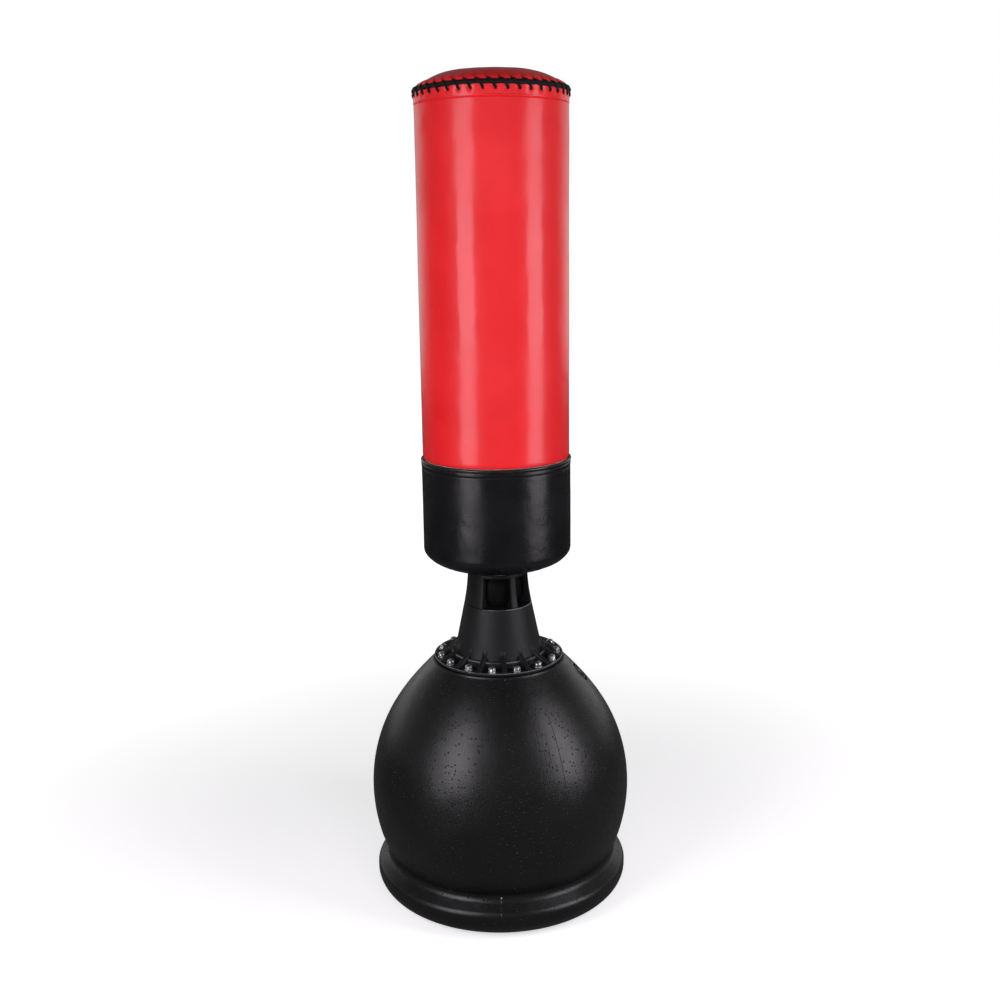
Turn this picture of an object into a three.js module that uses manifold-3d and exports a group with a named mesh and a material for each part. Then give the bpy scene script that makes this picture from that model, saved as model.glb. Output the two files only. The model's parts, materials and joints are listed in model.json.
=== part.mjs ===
// Free-standing punching bag: a fillable base, a bolted neck with a rubber joint, and a laced bag
// that lifts off a support post. Millimetres, +Z up, floor at z = 0, front towards -Y.
import * as THREE from 'three';
import { mergeVertices } from 'three/addons/utils/BufferGeometryUtils.js';
import Module from 'manifold-3d';

const wasm = await Module();
wasm.setup();

// ---------- driving dimensions ----------

const GAP = 0.3; // left between pieces that touch
const EASY_GAP = 0.4; // left round a piece that slips into another
const ROUND = 40; // sides of large round pieces
const SMALL_ROUND = 28; // sides of neck-sized round pieces
const FILLER_ROUND = 24; // sides of the filler's round pieces
const SHANK_ROUND = 8; // sides of bolt shanks and their holes
const FULL_TURN = 2 * Math.PI;

const base = {
  domeRadius: 274.7,
  domeRise: 305.8,
  domeCentre: 232.1,
  shoulderRadius: 228, // the dome is lifted inside this radius, up to the deck
  shoulderLift: 15,
  creaseHeight: 82,
  footRadius: 268.8,
  footWidest: 44.7, // height of the foot ring's widest line
  footEdge: [[0, 53], [1.3, 58.5], [4.3, 62.5]], // inset and height of the ring's upper edge
  footBottomReach: 57.9,
  restInner: 165, // inner edge of the ring that stands on the floor
  recessHeight: 12, // the underside inside that ring
  deckRadius: 139,
  deckEdge: 1.5,
  deckHeight: 514.5,
  mouthRadius: 86,
  wall: 5.5,
};

const flange = {
  radius: 136,
  underside: base.deckHeight + 2.5,
  top: base.deckHeight + 5,
  lipHeight: 2,
  lipWidth: 3.5,
  lipEdge: 1,
  gasketInset: 3,
};

const gasketThickness = flange.underside - base.deckHeight - 2 * GAP;

const bolts = {
  count: 15,
  circle: 121.5,
  firstAngle: THREE.MathUtils.degToRad(-6.4), // from the front, towards +X
  shankRadius: 4,
  holeRadius: 4.6,
  holeLength: 60,
  threadRadius: 4.35,
  washerRadius: 8.8,
  washerThickness: 1.8,
  hexRadius: 8.2,
  hexTaper: 1,
  headHeight: 12,
  length: 29,
};

const backing = {
  inward: 13, // from the bolt circle to the ring's inner edge
  outward: 7,
  thickness: 5,
};

const cone = {
  footRadius: 93,
  footHeight: 525,
  collarRadius: 99.5, // the thicker ring at the cone's foot
  collarTop: 531.5,
  collarEdge: 1,
  topRadius: 70.5,
  topHeight: 635,
  wall: 6.2,
  spigotHeight: 500,
  spigotPlay: 1.2,
  throatRise: 4, // height of the inner wall's foot above the flange's underside
  throatTop: 10, // height above the flange at which the inner wall takes the cone's slope
  seatHeight: 614, // ledge that carries the ball seat and the cage
  seatThickness: 8,
  seatSlope: 10,
  seatBore: 50,
  cageBore: 62.4,
  ribWidth: 10,
  ribTop: 546,
  ribReach: 131,
  ribToe: 1.5,
  ribHead: 5,
  ribRoot: 4, // how far a gusset runs into the cone's wall
};

const joint = {
  centre: 665, // height of the tilting centre
  ballRadius: 52.2,
  ballWaist: 50,
  ballWaistHalf: 15,
  ballHalfHeight: 45.5,
  socketRadius: 53,
  seatRim: 633,
  seatFloor: 3,
  cupRim: 697.5,
  socketTop: 711.5,
};

const cage = {
  postWidth: 13,
  postAngle: 30.5, // degrees from the front, towards +X
  panelAngles: [80, 130, 180, 230, 280, 332], // closed round the back and the left side
  ringTop: 634,
  postTop: 698,
  topHeight: 705.9,
  topRadius: 62.5,
  ringRadius: 62,
  innerRadius: 56,
  topInnerRadius: 47.2,
  hugSteps: 8,
};

const collar = {
  inset: 2,
  floor: 4,
  bossHeight: 26,
  bossWall: 8,
};

const plug = {
  skirt: 4,
  thickness: 4,
  postSkirtLength: 18,
  tubeSkirtLength: 20,
  edge: 3,
};

const post = {
  radius: 45,
  wall: 2,
  bottom: 713,
  top: 1010,
};

const basePlate = {
  hubRadius: 56,
  slopeRadius: 60,
  radius: 84,
  lift: 3,
  height: 8,
};

const bag = {
  radius: 150,
  bandRadius: 152.6, // the black band is a little fuller than the red cover
  bottom: 713,
  cornerReach: 100, // half-width of the rounded bottom corner
  cornerRise: 44,
  pipingHeight: 941.5,
  pipingRadius: 3.2,
  pipingInset: 2,
  neckClearance: 2, // round the post
  coverThickness: 3,
  bandThickness: 2.6,
  rimHeight: 1660.5,
  rimRadius: 147,
  ropeRadius: 3.4,
  crownRadius: 141,
  crownTop: 1697.5,
  crownDrop: 27.5,
  crownPower: 3.9,
  crownEdge: 1.5,
  padInset: 4,
  padGap: 0.8,
  foamSplit: 110,
  foamGap: 1.8,
  coreLift: 11.6,
  tubeRadius: 50,
  tubeWall: 4,
  tubeTop: 1640,
  sideTop: 1651,
};

const lacing = {
  stitches: 41,
  cordRadius: 2.1,
  stepsPerStitch: 6,
  slack: 1.2, // the straight steps of the cord stay clear of the rope
};

const filler = {
  radius: 174, // distance of the filler hole from the axis, on the +X side
  recessRadius: 22,
  recessDepth: 8,
  boreRadius: 15,
  bossRadius: 27,
  bossDepth: 17,
  bossSink: 3, // its upper face lies this far under the dome's surface
  cutterReach: 40, // how far the cutting tools run past the wall
  capRadius: 17.5,
  capHeight: 5,
  slotWidth: 3.2,
  slotDepth: 2.5,
  plugRadius: 14.4,
  plugLength: 9,
  sealRadius: 16.8,
  sealThickness: 1.6,
};

// ---------- materials ----------

function material(color, roughness, metalness = 0) {
  return new THREE.MeshStandardMaterial({ color, roughness, metalness });
}

const basePlastic = material(0x1d1d20, 0.45);
const neckPlastic = material(0x202023, 0.5);
const blackRubber = material(0x161617, 0.7);
const zincSteel = material(0xc9ccd0, 0.28, 1);
const greyPlastic = material(0x8c8f92, 0.5);
const paleFoam = material(0xd9d6cc, 0.9);
const redLeather = material(0xe8262c, 0.3);
const blackLeather = material(0x27272b, 0.35);
const blackCord = material(0x0d0f10, 0.6);

// ---------- shaping helpers ----------

const at = (r, z) => new THREE.Vector2(r, z);

function arcPoints(centre, reach, rise, from, to, steps) {
  return Array.from({ length: steps + 1 }, (_, i) => {
    const angle = THREE.MathUtils.degToRad(from + ((to - from) * i) / steps);
    return at(centre.x + reach * Math.cos(angle), centre.y + rise * Math.sin(angle));
  });
}

// Turns an outline of (radius, height) points about the Z axis into a closed geometry.
function revolve(outline, sides = SMALL_ROUND) {
  const outward = THREE.ShapeUtils.area(outline) > 0 ? outline : [...outline].reverse();
  const onAxis = outward[0].x === 0 && outward.at(-1).x === 0;
  const profile = onAxis ? outward : [...outward, outward[0]];
  return new THREE.LatheGeometry(profile, sides).rotateX(Math.PI / 2);
}

function tubeWall(inner, outer, bottom, top, sides) {
  return revolve([at(inner, bottom), at(outer, bottom), at(outer, top), at(inner, top)], sides);
}

function disc(radius, bottom, top, sides) {
  return revolve([at(0, bottom), at(radius, bottom), at(radius, top), at(0, top)], sides);
}

function toSolid(geometry) {
  const bare = geometry.clone();
  bare.deleteAttribute('normal');
  bare.deleteAttribute('uv');
  const merged = mergeVertices(bare, 1e-4);
  const index = merged.index.array;
  const triVerts = [];
  for (let i = 0; i < index.length; i += 3) {
    const [a, b, c] = [index[i], index[i + 1], index[i + 2]];
    if (a !== b && b !== c && c !== a) triVerts.push(a, b, c);
  }
  const mesh = new wasm.Mesh({
    numProp: 3,
    vertProperties: merged.attributes.position.array,
    triVerts: Uint32Array.from(triVerts),
  });
  return new wasm.Manifold(mesh);
}

function toGeometry(solid) {
  const mesh = solid.getMesh();
  const geometry = new THREE.BufferGeometry();
  geometry.setAttribute('position', new THREE.BufferAttribute(mesh.vertProperties, 3));
  geometry.setIndex(new THREE.BufferAttribute(mesh.triVerts, 1));
  geometry.computeVertexNormals();
  return geometry;
}

function boltAngle(index) {
  return bolts.firstAngle + (index * FULL_TURN) / bolts.count;
}

// Stands a geometry that was made at radius r on the +X side at an angle from the front.
function turnFromFront(geometry, angle) {
  return geometry.clone().rotateZ(angle - Math.PI / 2);
}

function drillBoltHoles(geometry, radius) {
  const centre = (flange.top + base.deckHeight) / 2;
  const hole = new THREE.CylinderGeometry(radius, radius, bolts.holeLength, SHANK_ROUND);
  hole.rotateX(Math.PI / 2).translate(bolts.circle, 0, centre);
  let drilled = toSolid(geometry);
  for (let i = 0; i < bolts.count; i += 1) {
    drilled = drilled.subtract(toSolid(turnFromFront(hole, boltAngle(i))));
  }
  return toGeometry(drilled);
}

const object = new THREE.Group();

function add(name, geometry, look) {
  const mesh = new THREE.Mesh(geometry, look);
  mesh.name = name;
  object.add(mesh);
  return mesh;
}

// ---------- base ----------

function domeHeight(r) {
  const cap = base.domeRise * Math.sqrt(1 - (r / base.domeRadius) ** 2);
  const span = base.shoulderRadius - base.deckRadius;
  const inward = Math.max(0, base.shoulderRadius - r) / span;
  return base.domeCentre + cap + base.shoulderLift * inward ** 2;
}

function domeNormal(r) {
  const step = 0.5;
  const slope = (domeHeight(r + step) - domeHeight(r - step)) / (2 * step);
  return new THREE.Vector3(-slope, 0, 1).normalize();
}

// The outside of the base from the middle of its underside up to the mouth.
function baseOutline() {
  const creaseSine = (base.creaseHeight - base.domeCentre) / base.domeRise;
  const creaseAngle = THREE.MathUtils.radToDeg(Math.asin(creaseSine));
  const shoulderAngle = THREE.MathUtils.radToDeg(
    Math.acos(base.shoulderRadius / base.domeRadius),
  );
  const bottomCentre = at(base.footRadius - base.footBottomReach, base.footWidest);
  const domeCentre = at(0, base.domeCentre);
  const shoulder = [];
  const shoulderSteps = 4;
  for (let i = 1; i <= shoulderSteps; i += 1) {
    const r = THREE.MathUtils.lerp(base.shoulderRadius, base.deckRadius, i / shoulderSteps);
    shoulder.push(at(r, domeHeight(r)));
  }
  return [
    at(0, base.recessHeight),
    at(base.restInner - base.recessHeight, base.recessHeight),
    at(base.restInner, 0),
    ...arcPoints(bottomCentre, base.footBottomReach, base.footWidest, -90, 0, 5),
    ...base.footEdge.map(([inward, height]) => at(base.footRadius - inward, height)),
    ...arcPoints(
      domeCentre, base.domeRadius, base.domeRise, creaseAngle, shoulderAngle, 9,
    ),
    ...shoulder,
    at(base.deckRadius, base.deckHeight - base.deckEdge),
    at(base.deckRadius - base.deckEdge, base.deckHeight),
    at(base.mouthRadius, base.deckHeight),
  ];
}

// Moves each point of an outline to its left by the wall thickness.
function inset(outline, distance) {
  return outline.map((point, i) => {
    const before = outline[Math.max(i - 1, 0)];
    const after = outline[Math.min(i + 1, outline.length - 1)];
    const along = after.clone().sub(before).normalize();
    const moved = at(point.x - along.y * distance, point.y + along.x * distance);
    return at(Math.max(moved.x, 0), moved.y);
  });
}

const fillerPoint = new THREE.Vector3(filler.radius, 0, domeHeight(filler.radius));
const fillerNormal = domeNormal(filler.radius);

// Places a geometry made about the Z axis on the dome, with z = 0 on the dome's surface.
function atFiller(geometry) {
  const turn = new THREE.Quaternion().setFromUnitVectors(
    new THREE.Vector3(0, 0, 1), fillerNormal,
  );
  return geometry.applyQuaternion(turn).translate(...fillerPoint.toArray());
}

function fillerDisc(radius, bottom, top) {
  return toSolid(atFiller(disc(radius, bottom, top, FILLER_ROUND)));
}

function makeBaseShell() {
  const outside = baseOutline();
  const floorPoints = 3;
  const deckPoints = 3;
  const inside = inset(outside, base.wall)
    .slice(0, -deckPoints)
    .filter((_, i) => i < floorPoints || i % 2 === 0);
  const underDeck = base.deckHeight - base.wall;
  const outline = [
    ...outside,
    at(base.mouthRadius, underDeck),
    at(base.deckRadius - base.wall, underDeck),
    ...inside.reverse().slice(1),
  ];
  const hull = toSolid(drillBoltHoles(revolve(outline, ROUND), bolts.holeRadius));
  const boss = fillerDisc(filler.bossRadius, -filler.bossDepth, -filler.bossSink);
  const recess = fillerDisc(filler.recessRadius, -filler.recessDepth, filler.cutterReach);
  const bore = fillerDisc(filler.boreRadius, -filler.cutterReach, 0);
  return toGeometry(hull.add(boss).subtract(recess).subtract(bore));
}

add('base_shell', makeBaseShell(), basePlastic);

// ---------- filler cap ----------

function makeFillerCap() {
  const underHead = -filler.recessDepth + filler.sealThickness + 2 * GAP;
  const headTop = underHead + filler.capHeight;
  const head = fillerDisc(filler.capRadius, underHead, headTop);
  const stem = fillerDisc(filler.plugRadius, underHead - filler.plugLength, headTop - GAP);
  const slot = new THREE.BoxGeometry(
    2 * filler.capRadius, filler.slotWidth, 2 * filler.slotDepth,
  );
  slot.translate(0, 0, headTop);
  return toGeometry(head.add(stem).subtract(toSolid(atFiller(slot))));
}

function makeCapSeal() {
  const bottom = -filler.recessDepth + GAP;
  return atFiller(tubeWall(
    filler.plugRadius + GAP, filler.sealRadius, bottom, bottom + filler.sealThickness,
    FILLER_ROUND,
  ));
}

add('filler_cap', makeFillerCap(), basePlastic);
add('cap_seal', makeCapSeal(), blackRubber);

// ---------- neck flange, cone and bolts ----------

function coneRadius(z) {
  const rise = (z - cone.footHeight) / (cone.topHeight - cone.footHeight);
  return THREE.MathUtils.lerp(cone.footRadius, cone.topRadius, rise);
}

function makeNeckCone() {
  const underSeat = cone.seatHeight - cone.seatThickness;
  const spigotRadius = base.mouthRadius - cone.spigotPlay;
  const lipTop = flange.top + flange.lipHeight;
  const lipInner = flange.radius - flange.lipWidth;
  const throatTop = flange.top + cone.throatTop;
  const slopeTop = underSeat - cone.seatSlope;
  const outline = [
    at(spigotRadius - cone.wall, cone.spigotHeight),
    at(spigotRadius, cone.spigotHeight),
    at(spigotRadius, flange.underside),
    at(flange.radius, flange.underside),
    at(flange.radius, lipTop - flange.lipEdge),
    at(flange.radius - flange.lipEdge, lipTop),
    at(lipInner + flange.lipEdge, lipTop),
    at(lipInner, flange.top),
    at(cone.collarRadius, flange.top),
    at(cone.collarRadius, cone.collarTop - cone.collarEdge),
    at(cone.collarRadius - cone.collarEdge, cone.collarTop),
    at(coneRadius(cone.collarTop), cone.collarTop),
    at(cone.topRadius, cone.topHeight),
    at(cone.cageBore, cone.topHeight),
    at(cone.cageBore, cone.seatHeight),
    at(cone.seatBore, cone.seatHeight),
    at(cone.seatBore, underSeat),
    at(coneRadius(slopeTop) - cone.wall, slopeTop),
    at(coneRadius(throatTop) - cone.wall, throatTop),
    at(spigotRadius - cone.wall, flange.underside + cone.throatRise),
  ];
  let solid = toSolid(revolve(outline, ROUND));
  const rib = makeRib();
  for (let i = 0; i < bolts.count; i += 1) {
    const between = boltAngle(i) + Math.PI / bolts.count;
    solid = solid.add(toSolid(turnFromFront(rib, between)));
  }
  return drillBoltHoles(toGeometry(solid), bolts.holeRadius);
}

// A gusset between two bolts, made on the +X side.
function makeRib() {
  const foot = flange.top - cone.ribToe;
  const headRadius = coneRadius(cone.ribTop);
  const profile = new THREE.Shape([
    at(cone.footRadius - cone.ribRoot, foot),
    at(cone.ribReach, foot),
    at(cone.ribReach, flange.top + cone.ribToe),
    at(headRadius + cone.ribHead, cone.ribTop),
    at(headRadius - cone.ribRoot / 2, cone.ribTop),
  ]);
  const rib = new THREE.ExtrudeGeometry(profile, { depth: cone.ribWidth, bevelEnabled: false });
  return rib.translate(0, 0, -cone.ribWidth / 2).rotateX(Math.PI / 2);
}

function makeGasket() {
  const bottom = base.deckHeight + GAP;
  const outer = flange.radius - flange.gasketInset;
  const ring = tubeWall(base.mouthRadius, outer, bottom, bottom + gasketThickness, ROUND);
  return drillBoltHoles(ring, bolts.holeRadius);
}

function makeBackingRing() {
  const top = base.deckHeight - base.wall - GAP;
  const ring = tubeWall(
    bolts.circle - backing.inward, bolts.circle + backing.outward,
    top - backing.thickness, top, ROUND,
  );
  return drillBoltHoles(ring, bolts.threadRadius);
}

// A flange-head bolt, hanging down from z = 0 under its head.
function makeBolt() {
  const washerSides = 12;
  const shank = disc(bolts.shankRadius, -bolts.length, bolts.washerThickness, SHANK_ROUND);
  const washer = disc(bolts.washerRadius, 0, bolts.washerThickness, washerSides);
  const hex = new THREE.CylinderGeometry(
    bolts.hexRadius - bolts.hexTaper, bolts.hexRadius, bolts.headHeight, 6,
  );
  hex.rotateX(Math.PI / 2).translate(0, 0, bolts.headHeight / 2);
  return toGeometry(toSolid(shank).add(toSolid(washer)).add(toSolid(hex)));
}

add('flange_gasket', makeGasket(), blackRubber);
add('backing_ring', makeBackingRing(), zincSteel);
add('neck_cone', makeNeckCone(), neckPlastic);

const boltGeometry = makeBolt();
for (let i = 0; i < bolts.count; i += 1) {
  const name = `flange_bolt_${String(i + 1).padStart(2, '0')}`;
  const angle = boltAngle(i);
  const bolt = add(name, boltGeometry.clone(), zincSteel);
  bolt.position.set(
    bolts.circle * Math.sin(angle), -bolts.circle * Math.cos(angle), flange.top + GAP,
  );
  bolt.rotation.z = angle;
}

// ---------- rubber joint ----------

// Points on a circle about the tilting centre, from one height to another.
function socketArc(radius, fromHeight, toHeight, steps) {
  const angleOf = (z) => THREE.MathUtils.radToDeg(Math.asin((z - joint.centre) / radius));
  return arcPoints(
    at(0, joint.centre), radius, radius, angleOf(fromHeight), angleOf(toHeight), steps,
  );
}

function makeBall() {
  const bottom = joint.centre - joint.ballHalfHeight;
  const top = joint.centre + joint.ballHalfHeight;
  const waistFoot = joint.centre - joint.ballWaistHalf;
  const waistTop = joint.centre + joint.ballWaistHalf;
  return revolve([
    at(0, bottom),
    ...socketArc(joint.ballRadius, bottom, waistFoot, 4).slice(0, -1),
    at(joint.ballWaist, waistFoot),
    at(joint.ballWaist, waistTop),
    ...socketArc(joint.ballRadius, waistTop, top, 4).slice(1),
    at(0, top),
  ]);
}

function makeBallSeat() {
  const bottom = cone.seatHeight + GAP;
  const arc = socketArc(joint.socketRadius, joint.seatRim, bottom + joint.seatFloor, 4);
  const outer = cage.innerRadius - EASY_GAP;
  return revolve([
    at(arc.at(-1).x, bottom),
    at(outer, bottom),
    at(outer, joint.seatRim),
    ...arc,
  ]);
}

// Two rings, a post and a panel that stand close round the ball.
function makeCage() {
  const foot = cone.topHeight + GAP;
  const hugTop = joint.cupRim - EASY_GAP;
  const hugFoot = cage.ringTop + EASY_GAP;
  const wall = toSolid(revolve([
    at(cage.innerRadius, cone.seatHeight + GAP),
    at(cage.ringRadius, cone.seatHeight + GAP),
    at(cage.ringRadius, foot),
    at(cone.topRadius, foot),
    at(cage.topRadius, cage.postTop),
    at(cage.topRadius, cage.topHeight),
    at(cage.topInnerRadius, cage.topHeight),
    at(cage.topInnerRadius, hugTop),
    ...socketArc(joint.socketRadius, hugTop, hugFoot, cage.hugSteps),
    at(cage.innerRadius, hugFoot),
  ], ROUND));
  const reach = 2 * cone.footRadius;
  const height = post.bottom - cone.seatHeight;
  const corners = cage.panelAngles.map((degrees) => {
    const angle = THREE.MathUtils.degToRad(degrees);
    return at(reach * Math.sin(angle), -reach * Math.cos(angle));
  });
  const sector = new THREE.Shape([at(0, 0), ...corners]);
  const panel = new THREE.ExtrudeGeometry(sector, { depth: height, bevelEnabled: false });
  let kept = toSolid(disc(reach, cone.spigotHeight, cage.ringTop));
  kept = kept.add(toSolid(disc(reach, cage.postTop, post.bottom)));
  kept = kept.add(toSolid(panel.translate(0, 0, cone.seatHeight)));
  const slab = new THREE.BoxGeometry(reach, cage.postWidth, height);
  slab.translate(reach / 2, 0, cone.seatHeight + height / 2);
  kept = kept.add(toSolid(turnFromFront(slab, THREE.MathUtils.degToRad(cage.postAngle))));
  return toGeometry(wall.intersect(kept));
}

function makeNeckCollar() {
  const arc = socketArc(joint.socketRadius, joint.socketTop, joint.cupRim, 4);
  const cupRadius = cage.topInnerRadius - EASY_GAP;
  const plateRadius = cage.topRadius - collar.inset;
  const plateBottom = cage.topHeight + GAP;
  const bossRadius = post.radius - post.wall - EASY_GAP;
  const seatTop = post.bottom - GAP;
  return revolve([
    ...arc,
    at(cupRadius, joint.cupRim),
    at(cupRadius, plateBottom),
    at(plateRadius, plateBottom),
    at(plateRadius, seatTop),
    at(bossRadius, seatTop),
    at(bossRadius, seatTop + collar.bossHeight),
    at(bossRadius - collar.bossWall, seatTop + collar.bossHeight),
    at(bossRadius - collar.bossWall, seatTop + collar.floor),
    at(arc[0].x, seatTop + collar.floor),
  ]);
}

function makePostCap() {
  const skirt = post.radius - post.wall - EASY_GAP;
  const bottom = post.top + GAP;
  const skirtBottom = bottom - plug.postSkirtLength;
  return revolve([
    at(0, bottom),
    at(skirt - plug.skirt, bottom),
    at(skirt - plug.skirt, skirtBottom),
    at(skirt, skirtBottom),
    at(skirt, bottom),
    at(post.radius, bottom),
    at(post.radius - plug.edge, bottom + plug.thickness),
    at(0, bottom + plug.thickness),
  ]);
}

add('pivot_ball', makeBall(), blackRubber);
add('ball_seat', makeBallSeat(), neckPlastic);
add('flex_cage', makeCage(), blackRubber);
add('neck_collar', makeNeckCollar(), neckPlastic);
add('support_post', tubeWall(
  post.radius - post.wall, post.radius, post.bottom, post.top, SMALL_ROUND,
), zincSteel);
add('post_cap', makePostCap(), greyPlastic);

// ---------- bag ----------

const tubeBottom = bag.bottom + bag.bandThickness + EASY_GAP;

function crownHeight(r) {
  return bag.crownTop - bag.crownDrop * (r / bag.crownRadius) ** bag.crownPower;
}

// The quarter ellipse under the bag, inset by a distance, from the middle out to the side.
function bagCorner(insetBy, steps) {
  const centre = at(bag.bandRadius - bag.cornerReach, bag.bottom + bag.cornerRise);
  const reach = bag.cornerReach - insetBy;
  const rise = bag.cornerRise - insetBy;
  return arcPoints(centre, reach, rise, -90, 0, steps);
}

function makeCoverBand() {
  const top = bag.pipingHeight - bag.pipingRadius - GAP;
  const innerRadius = post.radius + bag.neckClearance;
  return revolve([
    at(innerRadius, bag.bottom + bag.bandThickness),
    at(innerRadius, bag.bottom),
    ...bagCorner(0, 6),
    at(bag.bandRadius, top),
    at(bag.bandRadius - bag.bandThickness, top),
    ...bagCorner(bag.bandThickness, 6).reverse(),
  ], ROUND);
}

function makeBasePlate() {
  const inner = bag.tubeRadius + EASY_GAP;
  return revolve([
    at(inner, tubeBottom),
    at(basePlate.hubRadius, tubeBottom),
    at(basePlate.slopeRadius, tubeBottom + basePlate.lift),
    at(basePlate.radius, tubeBottom + basePlate.lift),
    at(basePlate.radius, tubeBottom + basePlate.height),
    at(inner, tubeBottom + basePlate.height),
  ]);
}

function makeTubePlug() {
  const skirt = bag.tubeRadius - bag.tubeWall - EASY_GAP;
  const bottom = bag.tubeTop + GAP;
  const skirtBottom = bottom - plug.tubeSkirtLength;
  return revolve([
    at(0, bottom),
    at(skirt - plug.skirt, bottom),
    at(skirt - plug.skirt, skirtBottom),
    at(skirt, skirtBottom),
    at(skirt, bottom),
    at(bag.tubeRadius, bottom),
    at(bag.tubeRadius, bottom + plug.thickness),
    at(0, bottom + plug.thickness),
  ]);
}

function makeFoamWrap() {
  const inner = bag.foamSplit + EASY_GAP;
  const outer = bag.radius - bag.coverThickness - EASY_GAP;
  const margin = 2;
  const corner = bagCorner(bag.bandThickness + bag.foamGap, 12)
    .filter((point) => point.x > inner + margin && point.x < outer - margin);
  const centre = bag.bandRadius - bag.cornerReach;
  const reach = bag.cornerReach - bag.bandThickness - bag.foamGap;
  const rise = bag.cornerRise - bag.bandThickness - bag.foamGap;
  const heightAt = (r) => (
    bag.bottom + bag.cornerRise - rise * Math.sqrt(1 - ((r - centre) / reach) ** 2)
  );
  return revolve([
    at(inner, heightAt(inner)),
    ...corner,
    at(outer, heightAt(outer)),
    at(outer, bag.sideTop),
    at(inner, bag.sideTop),
  ], ROUND);
}

function crownPoints(radius, drop, steps) {
  return Array.from({ length: steps + 1 }, (_, i) => {
    const r = radius * Math.sqrt(i / steps);
    return at(r, crownHeight(r) - drop);
  });
}

const CROWN_STEPS = 7;

function makeCrownPanel() {
  const outside = crownPoints(bag.crownRadius, 0, CROWN_STEPS);
  const inside = crownPoints(
    bag.crownRadius - bag.crownEdge, bag.coverThickness, CROWN_STEPS,
  );
  return revolve([...outside, ...inside.reverse()], ROUND);
}

function makeCrownPad() {
  const radius = bag.crownRadius - bag.padInset;
  const bottom = bag.sideTop + EASY_GAP;
  return revolve([
    at(0, bottom),
    at(radius, bottom),
    ...crownPoints(radius, bag.coverThickness + bag.padGap, CROWN_STEPS).reverse(),
  ], ROUND);
}

// Winds the lacing cord round the rim rope; seen from outside, each stitch runs down to the right.
class LacingCurve extends THREE.Curve {
  getPoint(t, target = new THREE.Vector3()) {
    const around = t * FULL_TURN;
    const wind = -around * lacing.stitches;
    const reach = bag.ropeRadius + lacing.cordRadius + lacing.slack;
    const r = bag.rimRadius + reach * Math.cos(wind);
    const z = bag.rimHeight + reach * Math.sin(wind);
    return target.set(r * Math.sin(around), -r * Math.cos(around), z);
  }
}

function makeLacing() {
  const steps = lacing.stitches * lacing.stepsPerStitch;
  return new THREE.TubeGeometry(new LacingCurve(), steps, lacing.cordRadius, 4, true);
}

function makeRing(ringRadius, cordRadius, height) {
  return new THREE.TorusGeometry(ringRadius, cordRadius, 6, ROUND).translate(0, 0, height);
}

add('bag_base_plate', makeBasePlate(), greyPlastic);
add('bag_inner_tube', tubeWall(
  bag.tubeRadius - bag.tubeWall, bag.tubeRadius, tubeBottom, bag.tubeTop, SMALL_ROUND,
), greyPlastic);
add('tube_plug', makeTubePlug(), greyPlastic);
add('foam_core', tubeWall(
  bag.tubeRadius + EASY_GAP, bag.foamSplit, bag.bottom + bag.coreLift, bag.sideTop, ROUND,
), paleFoam);
add('foam_wrap', makeFoamWrap(), paleFoam);
add('crown_pad', makeCrownPad(), paleFoam);
add('cover_band', makeCoverBand(), blackLeather);
add('cover_sleeve', tubeWall(
  bag.radius - bag.coverThickness, bag.radius,
  bag.pipingHeight + bag.pipingRadius + GAP, bag.sideTop, ROUND,
), redLeather);
add('crown_panel', makeCrownPanel(), redLeather);
add('band_piping', makeRing(
  bag.bandRadius - bag.pipingInset, bag.pipingRadius, bag.pipingHeight,
), blackCord);
add('rim_rope', makeRing(bag.rimRadius, bag.ropeRadius, bag.rimHeight), blackCord);
add('lacing_cord', makeLacing(), blackCord);

export default object;
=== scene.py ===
"""The looks of the free-standing punching bag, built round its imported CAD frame.

Metres, +Z up, front towards -Y.
"""

import json
import math

import bmesh
import bpy
import numpy as np
from mathutils import Matrix, Vector, noise


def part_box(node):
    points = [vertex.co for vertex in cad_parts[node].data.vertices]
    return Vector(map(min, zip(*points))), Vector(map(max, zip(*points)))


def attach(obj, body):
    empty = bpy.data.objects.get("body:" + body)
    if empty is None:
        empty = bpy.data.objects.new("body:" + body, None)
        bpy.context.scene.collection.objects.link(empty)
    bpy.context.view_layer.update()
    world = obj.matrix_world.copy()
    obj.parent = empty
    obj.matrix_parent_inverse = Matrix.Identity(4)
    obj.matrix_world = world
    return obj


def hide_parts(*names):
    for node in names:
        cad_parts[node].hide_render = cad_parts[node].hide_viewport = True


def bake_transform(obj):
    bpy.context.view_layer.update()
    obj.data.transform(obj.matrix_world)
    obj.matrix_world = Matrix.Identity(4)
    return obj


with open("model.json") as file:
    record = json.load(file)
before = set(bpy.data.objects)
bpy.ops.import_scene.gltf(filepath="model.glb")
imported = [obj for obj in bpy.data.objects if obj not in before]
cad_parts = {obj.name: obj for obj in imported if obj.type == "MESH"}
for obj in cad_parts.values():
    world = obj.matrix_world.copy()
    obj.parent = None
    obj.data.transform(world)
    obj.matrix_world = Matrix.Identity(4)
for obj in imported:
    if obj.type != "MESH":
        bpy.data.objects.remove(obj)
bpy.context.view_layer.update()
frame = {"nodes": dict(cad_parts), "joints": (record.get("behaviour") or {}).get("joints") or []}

FULL_TURN = 2 * math.pi

# ---------- sizes taken from the frame ----------


def radius_of(node):
    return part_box(node)[1].y


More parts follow.
